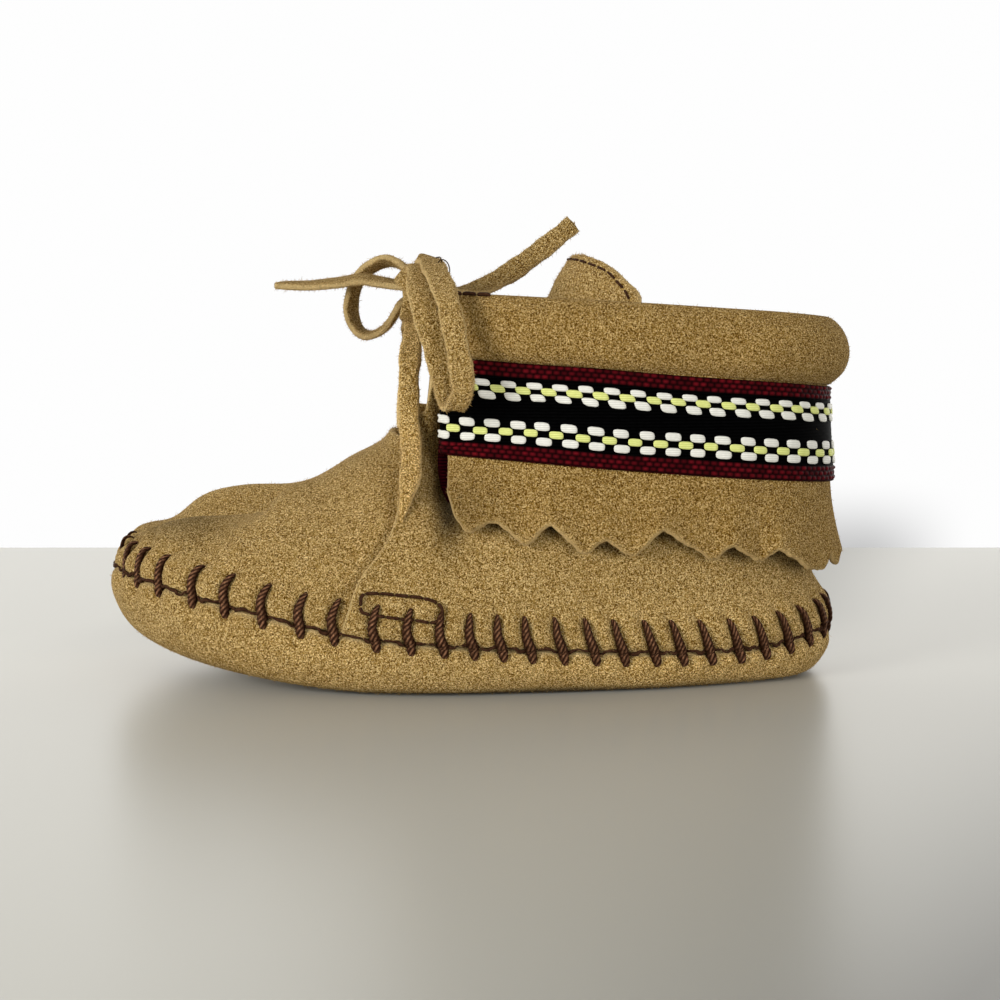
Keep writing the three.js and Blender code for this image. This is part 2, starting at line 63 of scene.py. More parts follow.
def add_node(tree, kind, inputs, **settings):
    """Shader node with its settings; inputs go by name or place and may be other nodes' sockets."""
    made = tree.nodes.new("ShaderNode" + kind)
    for name, value in settings.items():
        setattr(made, name, value)
    for key, value in inputs.items():
        if isinstance(value, bpy.types.NodeSocket):
            tree.links.new(value, made.inputs[key])
        else:
            made.inputs[key].default_value = value
    return made


def ramp(tree, value, low, high, start=0.0, end=1.0, soft=False):
    """Socket of a value carried from low and high to start and end, eased at both when soft."""
    spans = {"Value": value, "From Min": low, "From Max": high, "To Min": start, "To Max": end}
    kind = "SMOOTHSTEP" if soft else "LINEAR"
    return add_node(tree, "MapRange", spans, interpolation_type=kind).outputs[0]


def times(tree, first, second):
    """Socket of two values multiplied."""
    return add_node(tree, "Math", {0: first, 1: second}, operation="MULTIPLY").outputs[0]


def blend(tree, share, first, second):
    """Socket of two colours mixed by a share of the second."""
    return add_node(tree, "Mix", {0: share, 6: first, 7: second}, data_type="RGBA").outputs[2]


def lies_along(tree, place, direction):
    """Socket of how far a place lies along a direction."""
    made = add_node(tree, "VectorMath", {0: place, 1: direction}, operation="DOT_PRODUCT")
    return made.outputs["Value"]


def object_place(tree):
    """Socket of the place on the object, in metres."""
    return add_node(tree, "TexCoord", {}).outputs["Object"]


def new_material(name, **constants):
    """Material with one Principled shader; constants go on the shader's own sockets."""
    made = bpy.data.materials.new(name)
    made.use_nodes = True
    shader = made.node_tree.nodes["Principled BSDF"]
    for key, value in constants.items():
        shader.inputs[key.replace("_", " ")].default_value = value
    return made, made.node_tree, shader


def new_object(name, points, faces, *materials, pick=0, **layers):
    """Smooth mesh object of points in millimetres, with values for its points by layer.

    Pick is each face's place among the materials. Points that fall together are merged.
    """
    mesh = bpy.data.meshes.new(name)
    mesh.from_pydata((np.asarray(points).reshape(-1, 3) * MM).tolist(), [], faces.tolist())
    for layer, values in layers.items():
        held = mesh.attributes.new(layer, "FLOAT", "POINT")
        held.data.foreach_set("value", np.ravel(values).astype(np.float32))
    for material in materials:
        mesh.materials.append(material)
    mesh.polygons.foreach_set("material_index", np.full(len(faces), pick, np.int32))
    shaped = bmesh.new()
    shaped.from_mesh(mesh)
    bmesh.ops.remove_doubles(shaped, verts=shaped.verts, dist=1e-7)
    bmesh.ops.dissolve_degenerate(shaped, edges=shaped.edges, dist=1e-8)
    shaped.to_mesh(mesh)
    shaped.free()
    mesh.polygons.foreach_set("use_smooth", np.ones(len(mesh.polygons), bool))
    made = bpy.data.objects.new(name, mesh)
    bpy.context.scene.collection.objects.link(made)
    return made


lacquer, tree, shader = new_material("table_lacquer", Roughness=0.34)
cloudy = add_node(tree, "TexNoise", {"Scale": 6.0, "Detail": 2.0})
tint = blend(tree, cloudy.outputs["Fac"], srgb(181, 179, 169), srgb(188, 186, 177))
spot = object_place(tree)
painted_near_shade = ramp(tree, lies_along(tree, spot, (1.0, -0.6, 0.0)), 0.041, 0.136)  # painted shade, darker towards the near right
falling = add_node(tree, "Math", {0: painted_near_shade, 1: 2.5}, operation="POWER")
dimmed = blend(tree, falling.outputs[0], tint, srgb(108, 106, 100))
aside = lies_along(tree, spot, (0.954, -0.3, 0.0))
depth = add_node(tree, "SeparateXYZ", {0: spot}).outputs["Y"]
heelwards = ramp(tree, aside, 0.036, 0.066, 1.0, 0.0, soft=True)
cast = times(tree, heelwards, ramp(tree, depth, 0.0, 0.06, 0.0, 0.5, soft=True))
soft_shade = times(tree, cast, ramp(tree, aside, -0.09, -0.05, soft=True))  # the window's shadow behind
tree.links.new(blend(tree, soft_shade, dimmed, srgb(92, 91, 88)), shader.inputs["Base Color"])
tree.links.new(ramp(tree, soft_shade, 0.0, 0.5, 0.46, 0.12), shader.inputs["Specular IOR Level"])
sides = [(-1, -TABLE_REACH), (1, -TABLE_REACH), (1, TABLE_BACK), (-1, TABLE_BACK)]
table_corners = np.array([(side * TABLE_REACH, y, TABLE_TOP) for side, y in sides])
new_object("table_top", table_corners, np.array([[0, 1, 2, 3]]), lacquer)

WALL_WHITE = 0.99
WALL_LIGHT, ROOM_LIGHT, CEILING = 2.05, 0.46, 0.42  # from behind, before and above the table
room = bpy.data.worlds.new("room")
room.use_nodes = True
tree = room.node_tree
tree.nodes.clear()
ray = add_node(tree, "LightPath", {})
facing = add_node(tree, "TexCoord", {})
apart = add_node(tree, "SeparateXYZ", {0: facing.outputs["Generated"]}).outputs
behind = ramp(tree, apart["Y"], -0.2, 0.8, ROOM_LIGHT, WALL_LIGHT)
around = times(tree, behind, ramp(tree, apart["Z"], 0.2, 0.65, 1.0, CEILING))
low = ramp(tree, apart["Z"], -0.128, -0.082, 0.46, 0.0, soft=True)
right = ramp(tree, apart["X"], 0.19, 0.25, 1.0, 0.0, soft=True)
patch = times(tree, times(tree, low, right), ramp(tree, apart["X"], 0.06, 0.14))  # shade low on the wall
wall = blend(tree, patch, (WALL_WHITE, WALL_WHITE, WALL_WHITE, 1), (0.02, 0.02, 0.02, 1))
seen = add_node(tree, "Background", {"Color": wall})
lit = add_node(tree, "Background", {"Color": (1.0, 0.99, 0.96, 1), "Strength": around})
either = add_node(
    tree, "MixShader", {0: ray.outputs["Is Camera Ray"], 1: lit.outputs[0], 2: seen.outputs[0]}
)
add_node(tree, "OutputWorld", {"Surface": either.outputs[0]})
bpy.context.scene.world = room

LAMPS = {  # place, size in millimetres and watts
    "window": ((-680.0, -600.0, 245.0), 400.0, 8.0),
    "bounce": ((400.0, -560.0, 80.0), 420.0, 3.4),
}
for name, (place, size, watts) in LAMPS.items():
    light = bpy.data.lights.new(name, "AREA")
    light.size = size * MM
    light.energy = watts
    lamp = bpy.data.objects.new(name, light)
    lamp.visible_glossy = False  # no glare on the table
    lamp.location = Vector(place) * MM
    lamp.rotation_euler = (Vector((0, 0, 30)) - Vector(place)).to_track_quat("-Z", "Y").to_euler()
    bpy.context.scene.collection.objects.link(lamp)

eye = bpy.data.cameras.new("eye")
eye.lens = FOCAL
eye.sensor_width = 36.0
eye.clip_start = 0.01
camera = bpy.data.objects.new("eye", eye)
camera.location = Vector(EYE) * MM
camera.rotation_euler = (np.pi / 2 - EYE_DOWN, 0, 0)
bpy.context.scene.collection.objects.link(camera)
bpy.context.scene.camera = camera
bpy.context.scene.view_settings.view_transform = "Standard"


# Suede.
# Split hide brushed to a short nap: tufts about half a millimetre across, clumped and brushed in
# patches that catch the light, over a tan ground. All pieces of hide share it.
TUFT, CLUMP, BRUSHED = 0.11, 0.24, 13.0  # sizes of the nap's marks
NAP_DEPTH = 0.28


def more(tree, value, share, base):
    """Socket of a share of a value on top of a base."""
    return add_node(tree, "Math", {0: value, 1: share, 2: base}, operation="MULTIPLY_ADD").outputs[0]


nap = bpy.data.node_groups.new("suede_nap", "ShaderNodeTree")
for socket in ("Shade", "Height"):
    nap.interface.new_socket(socket, in_out="OUTPUT", socket_type="NodeSocketFloat")
place = object_place(nap)
marks = {}
for name, size, detail, rough in (
    ("tuft", TUFT, 1.5, 0.6),
    ("clump", CLUMP, 1.5, 0.5),
    ("brushed", BRUSHED, 3.0, 0.6),
):
    marks[name] = add_node(
        nap,
        "TexNoise",
        {
            "Vector": place,
            "Scale": 0.5 / (size * MM),
            "Detail": detail,
            "Roughness": rough,
            "Distortion": 0.8,
        },
    ).outputs["Fac"]
clumped = more(nap, marks["clump"], 0.1, times(nap, marks["tuft"], 2.7))
shade = ramp(nap, more(nap, marks["brushed"], 0.1, clumped), 1.07, 1.83)
leaving = nap.nodes.new("NodeGroupOutput")
nap.links.new(shade, leaving.inputs["Shade"])
nap.links.new(clumped, leaving.inputs["Height"])


def suede(name, dark, middle, light, sheen=0.08):
    """Suede in three tones of one hide, from the roots of the nap to its tips."""
    made, tree, shader = new_material(
        name,
        Roughness=0.95,
        Specular_IOR_Level=0.05,
        Sheen_Weight=sheen,
        Sheen_Roughness=0.5,
        Sheen_Tint=(1.0, 0.86, 0.62, 1.0),
    )
    tone_source = tree.nodes.new("ShaderNodeGroup")
    tone_source.node_tree = nap
    # Painted shade and painted light from each piece's own layer scale the tone.
    painted_shading_layer = add_node(tree, "Attribute", {}, attribute_name="brushed")
    painted_shading_scale = ramp(tree, painted_shading_layer.outputs["Fac"], -1.0, 1.6, 1.55, 0.12)
    tones = add_node(tree, "ValToRGB", {"Fac": tone_source.outputs["Shade"]})
    stops = tones.color_ramp.elements
    stops[0].color, stops[1].color = dark, light
    stops.new(0.5).color = middle
    cut = add_node(tree, "Attribute", {}, attribute_name="cut")
    raw = blend(tree, cut.outputs["Fac"], tones.outputs["Color"], light)
    toned = add_node(tree, "VectorMath", {0: raw, "Scale": painted_shading_scale}, operation="SCALE")
    tree.links.new(toned.outputs[0], shader.inputs["Base Color"])
    raised = add_node(
        tree,
        "Bump",
        {"Height": tone_source.outputs["Height"], "Distance": NAP_DEPTH * MM, "Strength": 0.9},
    )
    tree.links.new(raised.outputs["Normal"], shader.inputs["Normal"])
    return made


tan_suede = suede("tan_suede", srgb(86, 54, 4), srgb(165, 131, 66), srgb(234, 204, 144))


# Sole.
# One tray of suede, its rim turned up all round the foot and lifted at the toe. The rim meets the
# upper edge to edge in a butted seam, drawn tight by the whip stitches.
SOLE_LENGTH, BALL_WIDTH = 120.0, 53.0
TOE_X = -61.5
TOE_SPRING, SPRING_LENGTH, SPRING_POWER = 6.6, 46.0, 1.5
TOE_SWING, SWING_LENGTH = 2.4, 52.0
SUEDE, SOLE_WALL, GAP = 1.4, 2.0, 0.3
FULLNESS = {"x": -41.0, "y": 13.0, "rise": 2.4, "long": 11.0, "wide": 8.0, "from": 16.0, "over": 8.0}
RING_COLUMNS = "toe heel width taper blunt z_toe z_ball z_waist z_side z_heel".split()


def rings(*rows):
    """Rings of the last as columns by name."""
    return dict(zip(RING_COLUMNS, np.array(rows, float).T))


SEAM_HEIGHTS = np.array([12.0, 11.8, 8.1, 6.3, 9.0])
SOLE_RINGS = rings(
    [0.006, 0.998, 0.985, 0.17, 0.74, *(SEAM_HEIGHTS - GAP)],
    [0.0, 1.0, 1.0, 0.17, 0.74, 7.6, 6.6, 3.8, 4.0, 4.8],
    [0.022, 0.981, 0.935, 0.17, 0.74, 2.7, 1.8, 0.9, 0.9, 1.2],
    [0.075, 0.952, 0.81, 0.17, 0.74, 0, 0, 0, 0, 0],
    [0.075, 0.952, 0.52, 0.17, 0.74, 0, 0, 0, 0, 0],
    [0.075, 0.952, 0.24, 0.17, 0.74, 0, 0, 0, 0, 0],
    [0.075, 0.952, 0.0, 0.17, 0.74, 0, 0, 0, 0, 0],
)
UPPER_RINGS = rings(
    [0.006, 0.998, 0.985, 0.17, 0.74, *SEAM_HEIGHTS],
    [0.018, 0.986, 0.975, 0.17, 0.74, 17.8, 15.6, 11.0, 11.3, 12.6],
    [0.079, 0.966, 0.93, 0.16, 0.76, 22.1, 20.5, 15.6, 15.6, 16.6],
    [0.196, 0.957, 0.85, 0.13, 0.78, 28.4, 26.9, 21.6, 21.6, 22.1],
    [0.3125, 0.957, 0.78, 0.08, 0.76, 35.6, 32.6, 28.6, 28.1, 28.1],
    [0.383, 0.961, 0.74, 0.03, 0.72, 40.8, 38.6, 36.6, 35.6, 35.1],
    [0.3625, 0.965, 0.725, -0.02, 0.68, 51.6, 50.1, 47.6, 46.6, 45.6],
    [0.3625, 0.968, 0.715, -0.02, 0.68, 58.6, 56.9, 55.4, 53.8, 52.8],
)


def through(knots, t):
    """Smooth curve through evenly spaced knots (Catmull-Rom, ends repeated) at every t."""
    knots = np.asarray(knots, float)
    t = np.asarray(t, float)
    last = len(knots) - 1
    i = np.clip(np.floor(t).astype(int), 0, last - 1)
    f = np.clip(t - i, 0, 1)

    def knot(k):
        k = np.clip(k, 0, last)
        return knots[k] if knots.ndim == 1 else np.take_along_axis(knots, k[None], 0)[0]

    a, b, c, d = knot(i - 1), knot(i), knot(i + 1), knot(i + 2)
    return b + 0.5 * f * (c - a + f * (2 * a - 5 * b + 4 * c - d + f * (3 * (b - c) + d - a)))


def smooth(value, low, high):
    """Share from 0 at low to 1 at high, level at both."""
    share = np.clip((value - low) / (high - low), 0, 1)
    return share * share * (3 - 2 * share)


def round_steps(count):
    """Angles of even steps once round."""
    return np.linspace(0, 2 * np.pi, count, endpoint=False)


def run_along(line):
    """Way along a line of points to each of them."""
    return np.concatenate([[0], np.cumsum(np.linalg.norm(np.diff(line, axis=0), axis=-1))])


def ring_span(ring, level):
    """Middle and half length of a ring along the shoe."""
    toe = TOE_X + SOLE_LENGTH * through(ring["toe"], level)
    heel = TOE_X + SOLE_LENGTH * through(ring["heel"], level)
    return (toe + heel) / 2, (heel - toe) / 2


def angle_at(ring, level, x):
    """Angle at which a ring passes a place along the shoe, on the outer side."""
    middle, half = ring_span(ring, level)
    return np.arccos(np.clip((middle - x) / half, -1, 1))


def sprung(x, y, z):
    """Place with the toe lifted and turned inwards, each by a power of the way to the tip."""
    lift = np.maximum(0, (TOE_X + SPRING_LENGTH - x) / SPRING_LENGTH)
    turn = np.maximum(0, (TOE_X + SWING_LENGTH - x) / SWING_LENGTH)
    return np.stack([x, y + TOE_SWING * turn**2, z + TOE_SPRING * lift**SPRING_POWER], -1)


def last_point(ring, level, angle):
    """Point of the last: a blunt oval at each level, its height drawn through five places.

    Angle runs from the toe (0) by the outer side to the heel (pi).
    """
    level, angle = np.broadcast_arrays(np.asarray(level, float), np.asarray(angle, float))
    middle, half = ring_span(ring, level)
    side = np.sin(angle)
    reach = np.sign(side) * np.abs(side) ** through(ring["blunt"], level)
    y = -0.5 * BALL_WIDTH * through(ring["width"], level) * reach
    y = y * (1 + through(ring["taper"], level) * np.cos(angle))
    toe, ball, waist, flank, heel = (through(ring[name], level) for name in RING_COLUMNS[5:])
    station = 4 * np.arccos(np.clip(np.cos(angle), -1, 1)) / np.pi
    z = np.maximum(0, through(np.stack([ball, toe, ball, waist, flank, heel, flank]), station + 1))
    x = middle - half * np.cos(angle)
    spread = ((x - FULLNESS["x"]) / FULLNESS["long"]) ** 2 + ((y - FULLNESS["y"]) / FULLNESS["wide"]) ** 2
    rise = smooth(z, FULLNESS["from"], FULLNESS["from"] + FULLNESS["over"])
    return sprung(x, y, z + FULLNESS["rise"] * rise * np.exp(-spread))


def unit(vectors):
    """Vectors of length one."""
    return vectors / np.maximum(np.linalg.norm(vectors, axis=-1, keepdims=True), 1e-9)


def grid_normals(points, ring=False):
    """Normals of a grid: step across the columns times step along the rows."""
    if ring:
        across = np.roll(points, -1, 1) - np.roll(points, 1, 1)
    else:
        across = np.gradient(points, axis=1)
    return unit(np.cross(across, np.gradient(points, axis=0)))


def grid_faces(rows, columns, ring=False, start=0, copies=1):
    """Quads of a grid, or of copies of it; a ring's last column joins its first."""
    r, c = np.meshgrid(np.arange(rows - 1), np.arange(columns if ring else columns - 1), indexing="ij")
    nxt = (c + 1) % columns
    quads = np.stack(
        [r * columns + c, r * columns + nxt, (r + 1) * columns + nxt, (r + 1) * columns + c], -1
    ).reshape(1, -1, 4)
    return (start + quads + np.arange(copies).reshape(-1, 1, 1) * rows * columns).reshape(-1, 4)


def edge_rounding(points, radius, first_row=True, last_row=True, first_column=True, last_column=True):
    """Share of the thickness: a quarter circle that falls to nothing at each free edge."""
    rows = np.linalg.norm(np.diff(points, axis=0), axis=-1)
    columns = np.linalg.norm(np.diff(points, axis=1), axis=-1)
    down = np.concatenate([np.zeros((1, points.shape[1])), np.cumsum(rows, 0)])
    over = np.concatenate([np.zeros((points.shape[0], 1)), np.cumsum(columns, 1)], 1)
    free = (first_row, last_row, first_column, last_column)
    distance = np.full(points.shape[:2], 1e6)
    for edge, away in zip(free, (down, down[-1:] - down, over, over[:, -1:] - over)):
        if edge:
            distance = np.minimum(distance, away)
    return np.sqrt(1 - np.clip(1 - distance / radius, 0, 1) ** 2)


def painted_shading_ovals(points, painted_patches):
    """Sum of the painted shading on the outer side, each a soft oval in side view.

    Each oval is its place along, height, half length, half height and strength; a positive strength
    is painted shade and a negative one painted light.
    """
    x, y, z = np.moveaxis(points, -1, 0)
    ovals = 0
    for at, height, long, tall, strength in painted_patches:
        ovals = ovals + strength * np.exp(-(((x - at) / long) ** 2) - ((z - height) / tall) ** 2)
    return ovals * (1 - smooth(y, -8, -1))


napped = []  # faces of suede that shed fibres: points and normals


def hide_wall(name, middle, thick, rim, material, ring=False, normals=None, brushed=0.0):
    """Closed wall: the middle surface moved both ways along its normals by half the thickness.

    Rim is the share of the thickness left at the rounded edges; the last argument is painted shade on
    the outer face, and painted light where it is negative.
    """
    normals = grid_normals(middle, ring) if normals is None else normals
    half = 0.5 * thick * rim
    outer = middle + normals * half[..., None]
    inner = middle - normals * half[..., None]
    rows, columns = middle.shape[:2]
    faces = [
        grid_faces(rows, columns, ring),
        grid_faces(rows, columns, ring, rows * columns)[:, ::-1],
    ]
    bare = np.clip(1.2 * (1 - rim), 0, 1)  # raw hide along the cut edges
    brushed = np.broadcast_to(brushed, half.shape)
    made = new_object(
        name,
        np.concatenate([outer, inner]),
        np.concatenate(faces),
        material,
        cut=np.concatenate([bare, bare]),
        brushed=np.concatenate([brushed, 0 * brushed]),
    )
    napped.append((outer.reshape(-1, 3), normals.reshape(-1, 3)))
    return made


# Places of the whip stitches' lower holes along the outer side, as sewn by hand: close to even.
STITCH_X = [
    -58.3, -55.3, -51.2, -45.3, -39.9, -33.8, -27.8, -22.5, -16.0, -10.6, -5.5, -0.8, 3.7,
    8.2, 13.2, 18.2, 22.8, 27.8, 32.2, 36.8, 41.6, 45.9, 50.1, 53.7, 56.6,
]  # fmt: skip
STITCH_UP = [5.6, 6.1, 6.4, 5.5, 5.3, 5.1]  # reach above the seam, from toe to heel
STITCH_DOWN = [2.0, 2.3, 2.2, 2.3, 2.5, 2.3]
STITCH_LEAN = [-2.0, 0.7, 1.7, 2.1, 2.0, 2.2]  # upper hole ahead of the lower one
seam_angles = np.linspace(-np.pi, np.pi, 1441)
seam_line = last_point(UPPER_RINGS, 0.0, seam_angles)
seam_way = run_along(seam_line)
SEAM_ROUND = seam_way[-1]
near_holes = angle_at(UPPER_RINGS, 0.0, np.array(STITCH_X))
hole_angles = np.concatenate([[0.0, np.radians(5.5)], near_holes, [np.radians(173.5)]])
hole_angles = np.concatenate([hole_angles, -hole_angles[1:], [np.pi]])
hole_ways = np.interp(hole_angles, seam_angles, seam_way)


def along_foot(values, angle):
    """Value of a profile from toe to heel at an angle round the foot."""
    return through(values, (len(values) - 1) * np.abs(angle) / np.pi)


def puckers(angle, reach, sign):
    """Relief near the seam: dents under the stitches and puffs of hide between them.

    Reach is the distance from the seam; sign is 1 above it and -1 below.
    """
    angle = (angle + np.pi) % (2 * np.pi) - np.pi
    way = np.interp(angle, seam_angles, seam_way)
    lean = along_foot(STITCH_LEAN, angle) * np.sign(angle)
    stretch = along_foot(STITCH_UP if sign > 0 else STITCH_DOWN, angle)
    shifted = way + sign * lean * reach / 6.5
    apart = np.abs(shifted[..., None] - hole_ways)
    nearest = np.minimum(apart, SEAM_ROUND - apart).min(-1)
    dent = np.exp(-((nearest / 0.95) ** 2)) * (1 - smooth(reach, stretch - 0.3, stretch + 1.6))
    puff = (1 - np.exp(-((nearest / 1.5) ** 2))) * np.exp(-((reach / 3.4) ** 2))
    drawn = np.exp(-((reach / 1.1) ** 2))
    fold = np.exp(-(((reach - 2.7) / 0.55) ** 2)) * (0.5 + 0.5 * np.sin(way / 5.3)) if sign > 0 else 0.0
    gathered = 1 + 0.9 * (1 - smooth(np.abs(angle), 0.5, 1.1))  # fuller round the toe
    return 0.45 * gathered * puff - 0.65 * dent - 0.35 * drawn - 0.3 * fold


SOLE_COLUMNS = 420
# Painted light on the tray's outer side, and a painted contact shadow along its lowest edge.
SOLE_PAINTED_SHADING = [(38, 5, 28, 7, -0.55), (-26, 8, 14, 6, -0.25), (8, -0.3, 46, 1.1, 2.6)]
rim_levels = [0.2, 0.12, 0.06, 0.02, 0]  # closer steps where the rim is rounded
levels = np.concatenate([np.linspace(6, 3, 8)[:-1], np.linspace(3, 0.2, 34)[:-1], rim_levels])
turn = round_steps(SOLE_COLUMNS)
level, angle = np.meshgrid(levels, turn, indexing="ij")
outer = last_point(SOLE_RINGS, level, angle)
normals = grid_normals(outer, ring=True)
normals[..., 2] *= np.minimum(1, level / 0.5)
flat = smooth(level, 2.6, 3.4)[..., None]
normals = unit(normals * (1 - flat) + np.array([0, 0, -1.0]) * flat)
reach = np.cumsum(np.linalg.norm(np.diff(outer, axis=0, append=outer[-1:]), axis=-1)[::-1], 0)[::-1]
wander = 0.35 * np.sin(7 * angle + 1.0) * np.sin(3 * angle) * np.exp(-(((reach - 6) / 4) ** 2))
relief = puckers(angle, reach, -1) * 0.8 + wander
relief = np.where(level < 2.6, relief * smooth(2.6 - level, 0, 0.6), 0)
sole = hide_wall(
    "sole_tray",
    outer + normals * (relief - 0.5 * SOLE_WALL)[..., None],
    SOLE_WALL,
    edge_rounding(outer, 0.9, False, True, False, False),
    tan_suede,
    ring=True,
    normals=normals,
    brushed=painted_shading_ovals(outer, SOLE_PAINTED_SHADING),
)
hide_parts("sole")
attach(sole, "root")


# Insole.
# A thin pad of a paler, closer split of the same hide, cut a little smaller than the tray's floor and
# laid loose on it.
lining_suede = suede("lining_suede", srgb(140, 108, 66), srgb(186, 150, 100), srgb(214, 184, 138))
INSOLE = 1.5
PAD_SHARE, PAD_LENGTH = 0.95, 0.985
shares = np.array([0, 0.2, 0.4, 0.6, 0.8, 0.93, 0.98, 1])
share, turn = np.meshgrid(shares, round_steps(160), indexing="ij")
rim = last_point(SOLE_RINGS, 3.0, turn)
swing = sprung(rim[..., 0], 0 * turn, 0 * turn)[..., 1]
middle = sprung(
    rim[..., 0] * PAD_LENGTH,
    (rim[..., 1] - swing) * share * PAD_SHARE,
    SOLE_WALL + GAP + INSOLE / 2 + 0 * turn,
)
up = np.zeros_like(middle)
up[..., 2] = 1
rim = np.sqrt(1 - np.clip((share - 0.93) / 0.07, 0, 1) ** 2)
insole = hide_wall("insole_pad", middle[::-1], INSOLE, rim[::-1], lining_suede, ring=True, normals=up[::-1])
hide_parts("insole")
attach(insole, "root")


# Upper.
# A vamp over the toes and instep, and a pair of quarters joined behind the heel and lapped over the
# vamp's wings. Both are cut from suede and butt against the tray's rim at the seam.
LAP, QUARTER_FRONT, CUFF_FRONT = 1.0, 12.5, 6.0
LAP_FRONTS = [21.3, 20.4, 18.6, 13.7, 12.0, 11.8, QUARTER_FRONT, QUARTER_FRONT]
THROAT_RING, NOTCH_RING, TOP_RING = 5.0, 5.45, 7.0
WING = 6.0  # how far the vamp runs on under the quarters

# Creases of the outer side as seen from the side: places along the shoe and heights, half width and
# depth; a negative depth is a ridge.
CREASES = [
    ([(-45, 23.5), (-38, 26.5), (-33.5, 29), (-30, 32)], 2.1, -1.0),
    ([(-60.6, 18), (-58.8, 24)], 0.7, 1.0),
    ([(-58.2, 19.5), (-55.8, 25)], 0.7, 1.0),
    ([(-55.2, 20), (-52.8, 24.5)], 0.8, 0.8),
    ([(-51.8, 19.5), (-50.2, 23)], 0.8, 0.5),
    ([(-35.8, 29.4), (-40, 26.6), (-44.2, 23.6)], 2.8, 2.3),
    ([(-54, 24.8), (-50, 25.4), (-46.5, 25.6)], 2.4, -0.5),
    ([(-30, 20), (-26, 25), (-21, 29)], 2.6, 0.4),
    ([(-36, 19), (-31, 22), (-27, 27)], 2.2, -0.3),
]
# The hollow behind the lace's leg, where the quarter falls away under the flap's front edge.
VALLEY, VALLEY_WIDTH, VALLEY_DEPTH = [(-3.9, 55), (-3.9, 42), (-4.0, 36), (-4.2, 31.5)], 3.0, 6.0
# Painted shade as soft ovals on the outer faces, and painted light where the strength is negative.
VAMP_PAINTED_SHADE = [(-46.5, 25.6, 6.0, 3.0, 0.75), (-53.5, 25.4, 4.0, 2.6, 0.4)]
# On the quarters: painted shade beside the lace's leg and under the flap's front corner, and painted light
# low towards the heel.
QUARTER_PAINTED_SHADING = [(-4.7, 27.6, 2.6, 4.8, 1.4), (-5.6, 39.0, 2.6, 9.0, 0.9), (40, 10, 26, 4.5, -0.28)]
# Shade below the notches of the flap's edge: place along and height.
NOTCHES = [(2.8, 26.9), (11.3, 26.5), (19.5, 23.9), (28.1, 25.3), (39.3, 22.5), (46.7, 21.5)]
QUARTER_PAINTED_SHADING += [(*notch, 2.3, 1.3, 1.1) for notch in NOTCHES]
# Broad sinkings of the vamp where no toes fill it: place along and across, depth, length and width.
HOLLOWS = [
    (-33, -1, 2.8, 12, 8), (-46, -0.5, 4.2, 9, 6), (-33, 11, 1.5, 9, 11),
    (-54, 8, 1.5, 4, 9), (-49, 13, -0.8, 5, 6), (-58, -4, 1.2, 5, 9),
]  # fmt: skip


def graded(count, low=0.006, high=0.006):
    """Shares from 0 to 1 with closer steps at both ends, where an edge is rounded."""
    near = np.array([0.12, 0.4, 0.75])
    return np.unique(np.concatenate([np.linspace(0, 1, count), low * near, 1 - high * near]))


def from_line(x, z, line):
    """Distance in side view from every point to a line of short straight pieces."""
    line = np.array(line, float)
    best = np.full(x.shape, 1e6)
    for a, b in zip(line[:-1], line[1:]):
        step = b - a
        share = np.clip(((x - a[0]) * step[0] + (z - a[1]) * step[1]) / (step @ step), 0, 1)
        best = np.minimum(best, np.hypot(x - a[0] - share * step[0], z - a[1] - share * step[1]))
    return best


def creased(points):
    """Sum of the creases' soft troughs and ridges, full on the outer side and fading beyond the top."""
    x, y, z = np.moveaxis(points, -1, 0)
    outer_side = 1 - smooth(y, -4, 6)
    folds, sunk = 0, 0
    for line, width, depth in CREASES:
        folds = folds - depth * np.exp(-((from_line(x, z, line) / width) ** 2))
    for at, over, depth, long, wide in HOLLOWS:
        sunk = sunk - depth * np.exp(-(((x - at) / long) ** 2) - ((y - over) / wide) ** 2)
    return outer_side * folds + sunk * smooth(z, 15, 24)


def rumpled(points, seed, size, depth):
    """Low slow unevenness of soft hide: a sum of five seeded waves of about one size."""
    waves = np.random.default_rng(seed).normal(size=(5, 3))
    phase = np.random.default_rng(seed + 1).uniform(0, 2 * np.pi, 5)
    return depth * np.sin(points @ (unit(waves) * 2 * np.pi / size).T + phase).mean(-1)


def upper_sheet(level, angle, offset, sunk=0.0):
    """Middle surface of a piece of the upper, with the seam's puckers, creases and rumples.

    Sunk is how far the hide beside the quarters' front edges dips under them.
    """
    base = last_point(UPPER_RINGS, level, angle)
    normals = grid_normals(base)
    normals[..., 2] *= np.minimum(1, level / 0.5)
    normals = unit(normals)
    steps = np.linalg.norm(np.diff(base, axis=0, prepend=base[:1]), axis=-1)
    reach = np.cumsum(steps, 0)
    soft = smooth(reach, 0.6, 5)
    relief = puckers(angle, reach, 1) + soft * (creased(base) + rumpled(base, 3, 17, 0.35))
    before = base[..., 0] + through(LAP_FRONTS, level) + 0.7
    relief = relief - sunk * np.exp(-((before / 1.3) ** 2)) * smooth(level, 0.5, 1.4)
    sheet = base + normals * (offset + relief)[..., None]
    fallen = from_line(base[..., 0], base[..., 2], VALLEY) / VALLEY_WIDTH
    sheet[..., 1] += VALLEY_DEPTH * np.exp(-(fallen**2)) * (1 - smooth(base[..., 1], -8, -1))
    return sheet


